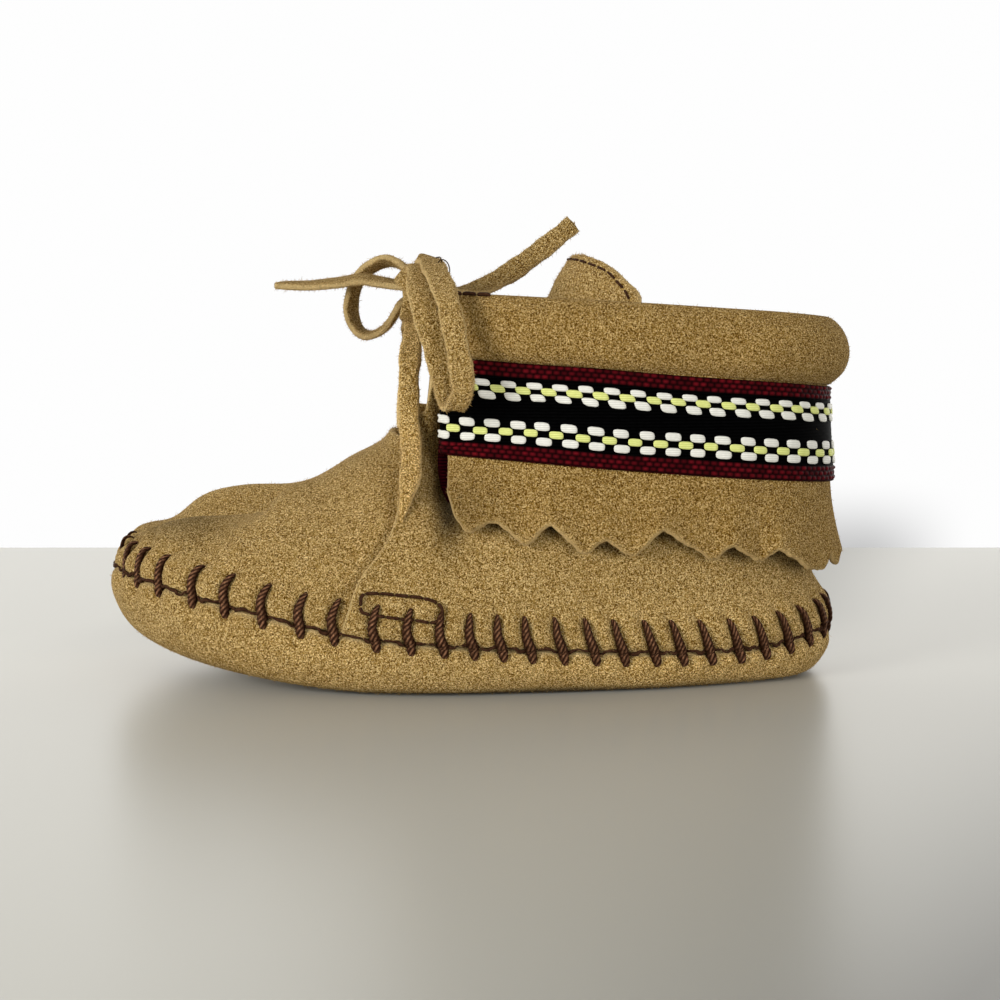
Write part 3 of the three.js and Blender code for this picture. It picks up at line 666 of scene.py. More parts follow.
share, side = np.meshgrid(graded(84), graded(250, 0.004, 0.004), indexing="ij")
level = share * THROAT_RING
angle = (2 * side - 1) * angle_at(UPPER_RINGS, level, WING - through(LAP_FRONTS, level))
middle = upper_sheet(level, angle, -SUEDE / 2, 0.5)
x, y, _ = np.moveaxis(middle, -1, 0)
far_hump_painted_light = np.exp(-(((x + 38) / 12) ** 2) - ((y - 12) / 7) ** 2)  # painted light on the far hump
vamp = hide_wall(
    "vamp",
    middle,
    SUEDE,
    edge_rounding(middle, 0.6),
    tan_suede,
    brushed=painted_shading_ovals(middle, VAMP_PAINTED_SHADE) - 0.5 * far_hump_painted_light,
)
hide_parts("upper")
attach(vamp, "root")


def quarter_angle(level, side):
    """Angle on the quarters at a share of the way from the outer front edge round to the inner one."""
    front = angle_at(UPPER_RINGS, level, -through(LAP_FRONTS, level))
    return front + (2 * np.pi - 2 * front) * side


share, side = np.meshgrid(graded(86), graded(330, 0.003, 0.003), indexing="ij")
ahead = last_point(UPPER_RINGS, CUFF_FRONT, quarter_angle(share * TOP_RING, side))[..., 0]
level = share * (NOTCH_RING + (TOP_RING - NOTCH_RING) * smooth(ahead, -8.6, -5.6))
angle = quarter_angle(level, side)
thick = (LAP + 0.1) * np.minimum(1, 0.3 + level)
turned_up = 0.5 * np.exp(-((np.minimum(side, 1 - side) / 0.008) ** 2)) * smooth(level, 1.2, 2.4)
middle = upper_sheet(level, angle, 0.02 + thick / 2 + turned_up)
brushed = painted_shading_ovals(middle, QUARTER_PAINTED_SHADING)
quarters = hide_wall("quarters", middle, thick, edge_rounding(middle, 0.55), tan_suede, brushed=brushed)
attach(quarters, "root")


# Whip stitches.
# Waxed brown twisted thread, doubled and sewn over the butted seam by hand, each stitch sunk into its
# holes; a thin running thread lies in the seam below them.
STITCH_WIDTH, STITCH_RISES = 1.6, [-0.5, 0.12, 0.2, 0.2, 0.2]
PLY_MARK = 0.82  # way between two grooves of a thread
SEAM_THREAD = 0.54

cord_brown, tree, shader = new_material("stitch_cord", Roughness=0.5, Specular_IOR_Level=0.04)
strands = add_node(tree, "TexNoise", {"Vector": object_place(tree), "Scale": 2600.0, "Detail": 3.0})
hairs = ramp(tree, strands.outputs["Fac"], 0.36, 0.64)
# The paler brown mixed in by this layer is painted highlight; the fibre noise is the thread's own grain.
strand = add_node(tree, "Attribute", {}, attribute_name="strand")
tone_source = times(tree, more(tree, strand.outputs["Fac"], 0.75, 0.03), ramp(tree, hairs, 0.0, 1.0, 0.35, 1.0))
brown = blend(tree, tone_source, srgb(21, 4, 0), srgb(186, 134, 100))
tree.links.new(brown, shader.inputs["Base Color"])
ribbed = add_node(tree, "Bump", {"Height": strands.outputs["Fac"], "Distance": 0.0001, "Strength": 0.7})
tree.links.new(ribbed.outputs["Normal"], shader.inputs["Normal"])


def seam_band(angle, reach):
    """Outer face near the seam: reach is positive up the upper and negative down the tray."""

    def width(ring, level):
        step = last_point(ring, level + 1.0, angle) - last_point(ring, level, angle)
        return np.linalg.norm(step, axis=-1)

    up, on, down = width(UPPER_RINGS, 0.0), width(UPPER_RINGS, 1.0), width(SOLE_RINGS, 0.0)
    above = np.where(reach < up, reach / up, 1 + (reach - up) / on)
    upper = last_point(UPPER_RINGS, np.maximum(above, 0), angle)
    lower = last_point(SOLE_RINGS, np.maximum(-reach / down, 0), angle)
    return np.where((reach >= 0)[..., None], upper, lower)


def seam_normal(angle, reach):
    """Direction out of the shoe near the seam, from the band's own slopes."""
    across = seam_band(angle + 0.01, reach) - seam_band(angle - 0.01, reach)
    along = seam_band(angle, reach + 0.8) - seam_band(angle, reach - 0.8)
    return unit(np.cross(across, along))


def swept(name, path, wide, tall, section, material, **marks):
    """Closed tubes: a section's two columns laid along each path's wide and tall directions.

    Path, wide and tall are (tubes, stations, 3) and section is (tubes, stations, around, 2); marks are
    values by layer for the section's points.
    """
    points = (
        path[:, :, None]
        + section[..., :1] * wide[:, :, None]
        + section[..., 1:] * tall[:, :, None]
    )
    tubes, stations, around = points.shape[:3]
    faces = grid_faces(stations, around, True, 0, tubes)
    layers = {layer: np.broadcast_to(value, points.shape[:3]) for layer, value in marks.items()}
    return new_object(name, points, faces, material, **layers)


def ring_of(count):
    """Round section of radius one."""
    return np.stack([np.cos(round_steps(count)), np.sin(round_steps(count))], -1)


def closing(stations, share):
    """Scale of a section along a tube: a half circle at both ends, which closes it."""
    t = np.linspace(0, 1, stations)
    return np.sqrt(1 - np.clip(1 - np.minimum(t, 1 - t) / share, 0, 1) ** 2)


def on_quarters(place):
    """Share from 0 on the vamp to 1 behind the quarters' front edge."""
    return smooth(place[..., 0], -22.2, -20.4)


def stitch_path(angle, stations):
    """Arched lines of the whip stitches, one for each angle of a hole, and their outward normals."""
    t = np.linspace(0, 1, stations)
    up, down = along_foot(STITCH_UP, angle), along_foot(STITCH_DOWN, angle)
    lean = along_foot(STITCH_LEAN, angle) * np.sign(angle)
    way = np.interp(angle, seam_angles, seam_way)[:, None] - lean[:, None] * (t - 0.25)
    turn = np.interp(way % SEAM_ROUND, seam_way, seam_angles)
    reach = -down[:, None] + (up + down)[:, None] * t
    out = seam_normal(turn, reach)
    place = seam_band(turn, reach)
    lapped = (LAP + 0.1) * np.clip(0.3 + reach / 5, 0, 1) * on_quarters(place) * smooth(reach, -0.6, 0.6)
    sunk = 1.5 * (2 * t - 1) ** 6 + 0.25 * np.exp(-((reach / 1.2) ** 2))  # at the holes and over the seam
    rise = lapped + along_foot(STITCH_RISES, angle)[:, None] - sunk
    return place + out * rise[..., None], out


STATIONS, ROUND = 50, 20  # points along a stitch and round it
path, out = stitch_path(hole_angles, STATIONS)
along = unit(np.gradient(path, axis=1))
wide = unit(np.cross(out, along))
tall = np.cross(along, wide)
run = np.cumsum(np.linalg.norm(np.diff(path, axis=1, prepend=path[:, :1]), axis=-1), 1)
round_angle = round_steps(ROUND)
over = np.cos(round_angle)
crown = np.abs(np.cos(np.pi * (run[..., None] / PLY_MARK + 0.9 * over)))
ply = 0.8 + 0.2 * crown**0.6
pair = 1 - 0.3 * np.exp(-((over / 0.3) ** 2))  # groove between the two threads
swell = 1.04 - 0.45 * smooth(np.linspace(0, 1, STATIONS), 0.35, 1.0)  # fuller below than above
finer = 1 - 0.3 * np.exp(-((hole_angles / 0.25) ** 2))  # drawn thinner round the toe's tip
scale = finer[:, None, None] * (closing(STATIONS, 0.22) * swell)[None, :, None] * ply
section = np.stack(
    [
        0.5 * STITCH_WIDTH * scale * over,
        0.42 * STITCH_WIDTH * scale * pair * np.sin(round_angle),
    ],
    -1,
)
# Painted highlight along the middle of each ply's crown, and painted shade on the cord's flanks.
marks = crown**5 * np.exp(-((over / 0.45) ** 2)) + 0.2 * crown**3 * pair**3 * (1 - over**6)
whip = swept("whip_stitches", path, wide, tall, section, cord_brown, strand=marks)
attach(whip, "root")

seam_turn = np.linspace(-np.pi, np.pi, 900)[None]
wander = 0.15 + 0.22 * np.sin(61 * seam_turn + 1.0) + 0.16 * np.sin(143 * seam_turn)
path = seam_band(seam_turn, wander)
out = seam_normal(seam_turn, wander)
rise = puckers(seam_turn, 0 * seam_turn, 1) + 0.32 * on_quarters(path)
rise = rise + 0.05 + 0.12 * np.sin(150 * seam_turn)
path = path + out * rise[..., None]
along = unit(np.gradient(path, axis=1))
wide = unit(np.cross(out, along))
bulk = 1 + 0.3 * np.sin(97 * seam_turn)[..., None, None]
section = 0.5 * SEAM_THREAD * bulk * ring_of(8)
running = swept("seam_thread", path, wide, np.cross(along, wide), section, cord_brown, strand=0.1)
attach(running, "root")


# Tongue.
# A rounded tab of suede behind the lace, its tail tucked under the vamp and a line of stitches run
# round its free top.
TONGUE_ROWS = [
    (-21.5, 33.2, 10, 0.02, 0.03),
    (-15, 37.4, 11.5, 0.03, 0.025),
    (-8, 42.8, 12, 0.045, 0.015),
    (2, 51.8, 13.5, 0.07, 0.005),
    (10.9, 60.5, 14.3, 0.071, 0),
    (13.5, 65.2, 11.8, 0.07, 0),
    (15.1, 67.9, 8.6, 0.066, 0),
    (16.0, 68.9, 4.6, 0.06, 0),
]
TONGUE = dict(zip("x z half sweep drop".split(), np.array(TONGUE_ROWS).T))


def tongue_point(row, across):
    """Point of the tongue: its middle line swept back and dropped by the square of the way across."""
    y = across * through(TONGUE["half"], row)
    x = through(TONGUE["x"], row) + through(TONGUE["sweep"], row) * y * y
    return np.stack([x, y, through(TONGUE["z"], row) - through(TONGUE["drop"], row) * y * y], -1)


row, across = np.meshgrid(7 * graded(90), 1 - 2 * graded(60, 0.02, 0.02), indexing="ij")
middle = tongue_point(row, across)
normals = grid_normals(middle)
middle = middle + normals * rumpled(middle, 11, 14, 0.35)[..., None]
tongue = hide_wall("tongue_tab", middle, SUEDE, edge_rounding(middle, 0.6), tan_suede)
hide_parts("tongue")
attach(tongue, "root")


# Cuff.
# The collar turned down outside as a soft roll. It hangs on as a flap, whose lower edge is cut by hand
# into points that curl a little.
cuff_suede = suede("cuff_suede", srgb(80, 47, 0), srgb(152, 118, 53), srgb(218, 186, 126))
RIBBON_WIDTH, RIBBON_DROP = 15.6, 11.5
CUFF_RING, FRONT_HANG, ROLL_RISE = 6.0, 0.35, 6.3
CUFF_OFF = [-0.7, -0.5, 1.3, 2.9, 3.4, 3.0, 2.0, 1.5, 1.5, 1.5]
CUFF_DROP = [6.0, 2.8, 0.7, 2.5, 5.6, 8.5, 10.5, RIBBON_DROP, RIBBON_DROP + 7.8, RIBBON_DROP + 15.6]
CUFF_HEEL_OFF = [0, 0, 0.1, 0.8, 1.3, 1.0, 0.2, -0.2, 0.0, 0.6]
HEM_ROW = len(CUFF_OFF) - 1
EDGE_ROW = HEM_ROW + 2
# Painted shade on the flap's front corner.
CUFF_PAINTED_SHADE = [(-2.0, 29.5, 5.0, 5.5, 0.5)]
RIBBON_RISE = [1.4, 1.4, 1.2, 0.7, 0.4, 0.2]  # flap drawn up from toe to heel
PINK_BLUNTING = (-0.022, -0.011, 0, 0.011, 0.022)  # angles over which a corner is rounded
PINKS = np.array(  # corners of the pinked edge from the front to the heel: place along, height and curl
    [
        (-4.9, 33.0, 0.2), (-4.0, 28.4, 0.3), (-1.6, 25.6, 0.6), (2.8, 27.6, 0.6), (7.2, 23.4, 0.3),
        (11.3, 27.3, 1.0), (16.3, 22.0, 0.4), (19.5, 24.6, 0.7), (24.4, 21.4, 0.3), (28.1, 26.2, 1.2),
        (36.8, 20.7, 0.2), (39.3, 23.4, 1.0), (43.8, 20.3, 0.3), (46.7, 22.4, 1.2), (52.2, 18.5, 0.5),
        (54.9, 18.4, 0.4), (55.5, 21.6, 0.4), (56.1, 18.2, 0.7), (57.2, 20.8, 0.9), (57.9, 17.8, 0.6),
        (58.2, 20.6, 1.0),
    ]
)  # fmt: skip
WIDE_X, WIDE_Z = np.linspace(-16, 60, 77), np.linspace(12, 48, 37)  # places of known half widths


def halved(low, high, short_of, rounds):
    """Ends of the gap left about the place where short_of turns false, after halving it."""
    for _ in range(rounds):
        mid = (low + high) / 2
        short = short_of(mid)
        low, high = np.where(short, mid, low), np.where(short, high, mid)
    return low, high


def level_at(angle, z):
    """Level of the shaft at a height and angle, by halving."""

    def under(level):
        return last_point(UPPER_RINGS, level, angle)[..., 2] < z

    return sum(halved(np.ones_like(z), np.full_like(z, TOP_RING), under, 14)) / 2


def half_width_at(x, z):
    """Half width of the upper at a place along the shoe and a height, by halving."""

    def ahead(angle):
        return last_point(UPPER_RINGS, level_at(angle, z), angle)[..., 0] < x

    angle, _ = halved(np.full_like(x, 0.05), np.full_like(x, np.pi - 0.05), ahead, 16)
    return -last_point(UPPER_RINGS, level_at(angle, z), angle)[..., 1]


wide_table = half_width_at(*np.meshgrid(WIDE_X, WIDE_Z, indexing="ij"))


def wider_than(x, y, z):
    """How much wider the foot is than the cuff's plan, from a table of half widths."""
    i = np.clip((x - WIDE_X[0]) / (WIDE_X[1] - WIDE_X[0]), 0, len(WIDE_X) - 1.001)
    k = np.clip((z - WIDE_Z[0]) / (WIDE_Z[1] - WIDE_Z[0]), 0, len(WIDE_Z) - 1.001)
    a, b = i.astype(int), k.astype(int)
    f, g = i - a, k - b
    width = (
        wide_table[a, b] * (1 - f) * (1 - g)
        + wide_table[a + 1, b] * f * (1 - g)
        + wide_table[a, b + 1] * (1 - f) * g
        + wide_table[a + 1, b + 1] * f * g
    )
    return np.where(z < 45.6, np.maximum(0, width - np.abs(y)), 0)


def outwards(angle, hang=FRONT_HANG):
    """Direction out of the shaft in plan; towards the front the cuff hangs out sideways."""
    ahead, back = (last_point(UPPER_RINGS, CUFF_RING, angle + step) for step in (0.02, -0.02))
    along = ahead - back
    out = unit(np.stack([along[..., 1], -along[..., 0], 0 * along[..., 0]], -1))
    out[..., 0] *= np.where(out[..., 0] < 0, hang, 1)
    return unit(out)


def cuff_point(angle, off, z):
    """Point round the cuff: off the quarter's face, at a height, pushed out where the foot is wider."""
    base = last_point(UPPER_RINGS, CUFF_RING, angle)
    side = outwards(angle, 0.0)
    wider = wider_than(base[..., 0], base[..., 1], z) * np.abs(side[..., 1])
    point = base + side * wider[..., None] + outwards(angle) * (LAP + off)[..., None]
    point[..., 2] = z
    return point


def heel_share(angle):
    """How near an angle is to the heel: 0 at the sides and 1 behind."""
    return np.maximum(0, -np.cos(angle)) ** 2


def before_pinks(angle):
    """Whether the flap's edge at an angle lies ahead of the pinks' places."""
    off = CUFF_OFF[-1] + CUFF_HEEL_OFF[-1] * heel_share(angle)
    return cuff_point(angle, off, PINKS[:, 1])[:, 0] < PINKS[:, 0]


pink_angles = sum(halved(np.zeros(len(PINKS)), np.full(len(PINKS), np.pi), before_pinks, 30)) / 2
pink_angles[-4:] = np.linspace(pink_angles[-4], np.pi, 4)  # even behind the heel
edge_angles = np.concatenate([pink_angles, 2 * np.pi - pink_angles[-2::-1]])
edge_heights = np.concatenate([PINKS[:, 1], PINKS[-2::-1, 1]])
edge_curls = np.concatenate([PINKS[:, 2], PINKS[-2::-1, 2]])


def cuff_middle(angle, row):
    """Middle surface of the cuff: the section's rows, then two more down to the pinked edge."""
    collar = last_point(UPPER_RINGS, TOP_RING, angle)[..., 2] + ROLL_RISE
    turned = np.where(angle > np.pi, 2 * np.pi - angle, angle)
    raised = smooth(row, 4.5, 7) * along_foot(RIBBON_RISE, turned)
    hem = collar - CUFF_DROP[-1] + raised
    share = np.maximum(0, row - HEM_ROW) / 2
    edge = sum(np.interp(angle + step, edge_angles, edge_heights) for step in PINK_BLUNTING) / 5
    edge = edge + 0.12 * np.sin(47 * angle + 1.0) + 0.08 * np.sin(133 * angle)
    curl = np.interp(angle, edge_angles, edge_curls)
    drop = np.where(row < 7, through(CUFF_DROP, row), RIBBON_DROP + RIBBON_WIDTH * (row - 7) / 2)
    z = np.where(row <= HEM_ROW, collar - drop + raised, hem + (edge - hem) * share)
    off = through(CUFF_OFF, row) + through(CUFF_HEEL_OFF, row) * heel_share(angle)
    hanging = smooth(row, 6.0, 11.0)
    sway = 0.35 * np.sin(9 * angle + 0.6) + 0.25 * np.sin(17 * angle + 2.0)
    off = off + (0.2 + 0.6 * heel_share(angle)) * share + 1.6 * curl * share**2
    off = off + (0.1 + sway) * hanging * 0.45
    slack = np.exp(-(((row - 4.0) / 2.0) ** 2))
    off = off + slack * (0.35 * np.sin(5 * angle + 0.4) + 0.2 * np.sin(11 * angle + 1.0))
    point = cuff_point(angle, off, z)
    return point + outwards(angle) * rumpled(point, 31, 15, 0.3)[..., None]


def cuff_along(angle, row):
    """Short step round the cuff's middle surface."""
    return cuff_middle(angle + 0.004, row) - cuff_middle(angle - 0.004, row)


def cuff_normal(angle, row):
    """Direction off the cuff's outer face, from the slopes of its middle surface."""
    below, above = np.minimum(row + 0.05, EDGE_ROW), np.maximum(row - 0.05, 0)
    down = cuff_middle(angle, below) - cuff_middle(angle, above)
    return unit(np.cross(down, cuff_along(angle, row)))


spans = np.maximum(2, np.ceil(np.diff(edge_angles) / 0.012).astype(int))
stations = np.concatenate(
    [np.linspace(a, b, n, endpoint=False) for a, b, n in zip(edge_angles[:-1], edge_angles[1:], spans)]
    + [edge_angles[-1:]]
)
closer = 0.02 * graded(3)[1:-1] / 3  # steps beside both front edges
stations = np.unique(np.concatenate([stations, stations[0] + closer, stations[-1] - closer]))
cut_rows = [10.8, 10.88, 10.94, 10.98, EDGE_ROW]
rows = np.concatenate([np.linspace(0, HEM_ROW, 55)[:-1], np.linspace(HEM_ROW, 10.8, 15)[:-1], cut_rows])
row, angle = np.meshgrid(rows[::-1], stations, indexing="ij")
middle = cuff_middle(angle, row)
brushed = painted_shading_ovals(middle, CUFF_PAINTED_SHADE)
cuff = hide_wall("cuff_flap", middle, SUEDE, edge_rounding(middle, 0.7), cuff_suede, brushed=brushed)
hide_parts("cuff")
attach(cuff, "root")


# Ribbon.
# A woven trim sewn flat round the cuff and turned in at both front edges: maroon twill borders, a
# black ground, and two chequered stripes of white and yellow floats.
RIBBON_THICKNESS = 0.5
RIBBON_CLEAR = 0.1
TURN_IN = 5.5  # ribbon past each front edge, round to the inside
MAROON_TOP, MAROON_FOOT = 2.3, 2.5
BLACK_FROM, BLACK_TO = 19, 42  # columns of the black ground across the ribbon
NUB_LONG, NUB_TALL, NUB_RISE = 1.2, 0.76, 0.3
ribbon_angles = np.linspace(edge_angles[0], edge_angles[-1], 1600)
ribbon_line = cuff_middle(ribbon_angles, np.full_like(ribbon_angles, 8.0))
ribbon_way = run_along(ribbon_line)
RIBBON_LENGTH = ribbon_way[-1]


def ribbon_point(way, down, lift):
    """Point on the ribbon: way along it, down from its top edge, lift off the flap's face.

    Past a front edge it runs round a half circle about the flap's cut edge and back inside.
    """
    angle = np.interp(way, ribbon_way, ribbon_angles)
    row = 7 + 2 * down / RIBBON_WIDTH
    normal = cuff_normal(angle, row)
    past = np.maximum(np.maximum(-way, way - RIBBON_LENGTH), 0)
    ahead = unit(cuff_along(angle, row)) * np.where(way < 0, -1, 1)[..., None]
    fold = SUEDE / 2 + RIBBON_CLEAR
    bend = np.minimum(past / fold, np.pi)
    back = np.maximum(past - np.pi * fold, 0)
    out = normal * np.cos(bend)[..., None] + ahead * np.sin(bend)[..., None]
    return cuff_middle(angle, row) + out * (fold + lift)[..., None] - ahead * back[..., None]


def woven(name, dark, light, size, gloss, ridge=0.3, shine=0.3):
    """Woven yarn: fine threads across the ribbon, dark between them."""
    made, tree, shader = new_material(name, Roughness=gloss, Specular_IOR_Level=shine)
    spot = object_place(tree)
    threads = add_node(
        tree,
        "TexWave",
        {"Vector": spot, "Scale": 2 * np.pi / (20 * size * MM), "Distortion": 1.2, "Detail": 2.0},
        bands_direction="Z",
    )
    fluff = add_node(tree, "TexNoise", {"Vector": spot, "Scale": 1500.0, "Detail": 3.0})
    both = times(tree, threads.outputs["Fac"], fluff.outputs["Fac"])
    tree.links.new(blend(tree, both, dark, light), shader.inputs["Base Color"])
    relief = add_node(tree, "Bump", {"Height": both, "Distance": 0.00012, "Strength": ridge})
    tree.links.new(relief.outputs["Normal"], shader.inputs["Normal"])
    return made


black_ground = woven("black_ground", srgb(0, 0, 0), srgb(8, 8, 9), 0.5, 0.6, 0.12, 0.02)

maroon_twill, tree, shader = new_material("maroon_twill", Roughness=0.55, Specular_IOR_Level=0.06)
raised = add_node(tree, "Attribute", {}, attribute_name="nub")
maroon = blend(tree, raised.outputs["Fac"], srgb(6, 0, 1), srgb(100, 14, 23))
tree.links.new(maroon, shader.inputs["Base Color"])

foot = RIBBON_WIDTH - MAROON_FOOT
downs = np.concatenate(
    [
        np.linspace(0, MAROON_TOP, BLACK_FROM + 1)[:-1],
        np.linspace(MAROON_TOP, foot, BLACK_TO - BLACK_FROM + 1)[:-1],
        np.linspace(foot, RIBBON_WIDTH, 22),
    ]
)
ways = np.linspace(-TURN_IN, RIBBON_LENGTH + TURN_IN, 1040)
way, down = np.meshgrid(ways, downs, indexing="ij")
course = np.where(down < 8, down, down - foot) / NUB_TALL
pick = way / NUB_LONG + 0.5 * np.floor(course)  # every other course is shifted by half a nub
nub = np.abs(np.cos(np.pi * pick)) * np.sin(np.pi * (course % 1))
border = (down < MAROON_TOP - 1e-6) | (down > foot + 1e-6)
cell = np.floor(pick + 0.5).astype(int) * 7 + np.floor(course).astype(int) * 131
uneven = np.random.default_rng(9).uniform(0.3, 1.0, 5003)[cell % 5003]
nub = np.where(border, uneven * nub, 0)
face = RIBBON_THICKNESS + NUB_RISE * nub + 0.05 * np.sin(way * 2.1) * np.sin(down * 5.0)
rim = np.sqrt(1 - np.clip(1 - np.minimum(down, RIBBON_WIDTH - down) / 0.4, 0, 1) ** 2)
front_face = ribbon_point(way, down, 0.5 * RIBBON_THICKNESS + (face - 0.5 * RIBBON_THICKNESS) * rim)
back_down = np.linspace(RIBBON_WIDTH, 0, 5)[1:-1]
back_way, back_down = np.meshgrid(ways, back_down, indexing="ij")
back_face = ribbon_point(back_way, back_down, 0 * back_way)
band = np.concatenate([front_face, back_face], 1)
ends = band.mean(1, keepdims=True)
band = np.concatenate([ends[:1].repeat(band.shape[1], 1), band, ends[-1:].repeat(band.shape[1], 1)])
faces = grid_faces(band.shape[0], band.shape[1], True)[:, ::-1]
raised_nubs = np.concatenate([nub, np.zeros(back_way.shape)], 1)
raised_nubs = np.concatenate([raised_nubs[:1], raised_nubs, raised_nubs[-1:]])
column = faces.min(1) % band.shape[1]
in_black = (column >= BLACK_FROM) & (column < BLACK_TO)
ribbon = new_object(
    "ribbon_band", band, faces, maroon_twill, black_ground, pick=in_black, nub=raised_nubs
)
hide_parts("ribbon")
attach(ribbon, "root")


# Ribbon tails.
# The ribbon's two cut ends, turned in round the flap's front edges and left hanging on inside, where
# their maroon back shows as a strip ahead of the flap, coloured darker as painted shade for the gap.
TAIL_FRONT = [(41, -6.2), (38, -6.5), (35, -6.5), (32.5, -6.1), (30.5, -5.4), (29.2, -4.6)]  # height, along
TAIL_BACK, TAIL_SIDE, TAIL_THICKNESS = -2.6, 17.7, 0.5
maroon_back_painted_shade = woven("maroon_back_painted_shade", srgb(4, 0, 1), srgb(56, 7, 16), 0.5, 0.8, 0.4, 0.02)
t, share = np.meshgrid(np.linspace(0, 5, 22), np.linspace(0, 1, 10), indexing="ij")
height, ahead = (through(values, t) for values in np.array(TAIL_FRONT).T)
for name, side in (("ribbon_tail_outer", -1), ("ribbon_tail_inner", 1)):
    along = ahead + (TAIL_BACK - ahead) * share
    middle = np.stack([along, 0 * t + side * TAIL_SIDE, height], -1)
    tail = hide_wall(name, middle[:, ::-side], TAIL_THICKNESS, edge_rounding(middle, 0.3), maroon_back_painted_shade)
    napped.pop()  # woven, so it sheds no nap
    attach(tail, "root")


# Chequered stripes.
# White and yellow yarns that float over the ribbon's black ground, each float a small pillow of thread
# between the two places where the yarn dives back into the weave.
REPEAT, FLOAT_RISE = 4.0, 0.36
yarns = {
    "white_checks": woven("white_float", srgb(200, 198, 188), srgb(246, 245, 234), 0.3, 0.5),
    "yellow_checks": woven("yellow_float", srgb(190, 195, 106), srgb(238, 242, 166), 0.3, 0.5),
}
FLOAT_ROWS = {  # middle of a row down the ribbon, a float's height and length, the first one's place, lean
    "white_checks": [
        (3.45, 1.1, 2.5, 1.95, 0.12),
        (5.35, 1.36, 2.55, 2.6, 0.25),
        (9.75, 1.38, 2.5, -0.6, 0.08),
        (12.1, 1.34, 2.5, -0.5, -0.05),
    ],
    "yellow_checks": [
        (4.25, 1.24, 2.35, 0.25, 0.2),
        (10.95, 1.24, 2.3, 1.5, 0.0),
    ],
}


def squarish(value, power):
    """Value raised to a power with its sign kept, which squares off a circle."""
    return np.sign(value) * np.abs(value) ** power


def globe(round_count, rows):
    """Longitudes and latitudes of a ball's grid."""
    return np.meshgrid(round_steps(round_count), np.linspace(-0.5, 0.5, rows) * np.pi, indexing="ij")


lon, lat = globe(14, 8)
pillow_x = squarish(np.cos(lon), 0.6) * np.cos(lat) ** 0.5
pillow_y = squarish(np.sin(lon), 0.6) * np.cos(lat) ** 0.5
pillow_z = np.sin(lat)
loose = np.random.default_rng(5)
for name, stripe in FLOAT_ROWS.items():
    parts = []
    for centre, tall, long, first, lean in stripe:
        start = np.arange(first, RIBBON_LENGTH + 1.0, REPEAT)
        jitter = loose.normal(0, 1, (3, len(start), 1, 1))
        way = start[:, None, None] + 0.06 * jitter[0] + pillow_x * long / 2 * (1 + 0.03 * jitter[1])
        way = way + lean * pillow_y
        down = centre + 0.03 * jitter[2] + pillow_y * tall / 2
        parts.append(ribbon_point(way, down, RIBBON_THICKNESS + FLOAT_RISE * (0.35 + 0.65 * pillow_z)))
    floats = np.concatenate(parts).transpose(0, 2, 1, 3)
    faces = grid_faces(floats.shape[1], floats.shape[2], True, 0, len(floats))
    checks = new_object(name, floats, faces, yarns[name])
    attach(checks, "root")


# Lace.
# A thong cut from the same suede. A leg rises from a slit in each quarter, the two cross over the
# tongue, and they are tied in a bow with two loops and two free ends.
LACE_WIDTH, LACE_THICKNESS = 3.3, 1.3
LEG_RINGS = [3.2, 3.6, 4.0, 4.5, 4.9, 5.3]
LEG_LEANS = {  # places along the shoe from the slit upwards
    "outer": [-12.2, -11.2, -10.4, -10.0, -9.7, -9.7],
    "inner": [-12.0, -11.6, -11.6, -11.6, -11.6, -11.6],
}
CROSSING = [(-11.3, -12, 52.1), (-10.6, -6.6, 57.4), (-11.2, 0, 58.8), (-11.8, 6.6, 57.4), (-12, 12, 52.1)]
LACE_SECTION, LACE_STEP, LACE_END = 20, 0.45, 0.35  # points round it, stations' spacing, rounded end


def leg_rows(leans, side):
    """Rows of a leg on a quarter's face, from its slit upwards: place, and turn of its width."""
    level = np.array(LEG_RINGS)
    angle = angle_at(UPPER_RINGS, level, np.array(leans))
    step = last_point(UPPER_RINGS, level, angle + 0.01) - last_point(UPPER_RINGS, level, angle - 0.01)
    rise = last_point(UPPER_RINGS, level + 0.02, angle) - last_point(UPPER_RINGS, level - 0.02, angle)
    off = LAP + 0.8 + LACE_THICKNESS / 2 - 1.6 * np.exp(-((level - LEG_RINGS[0]) / 0.25) ** 2)
    place = last_point(UPPER_RINGS, level, angle) + unit(np.cross(step, rise)) * off[:, None]
    out = outwards(angle, 1.0)
    turn = np.degrees(np.arctan2(-out[:, 1], side * out[:, 0]))
    turn = 0.15 * turn + 0.85 * 90.0 if side > 0 else turn
    return np.column_stack([place[:, 0], side * place[:, 1], place[:, 2], turn])


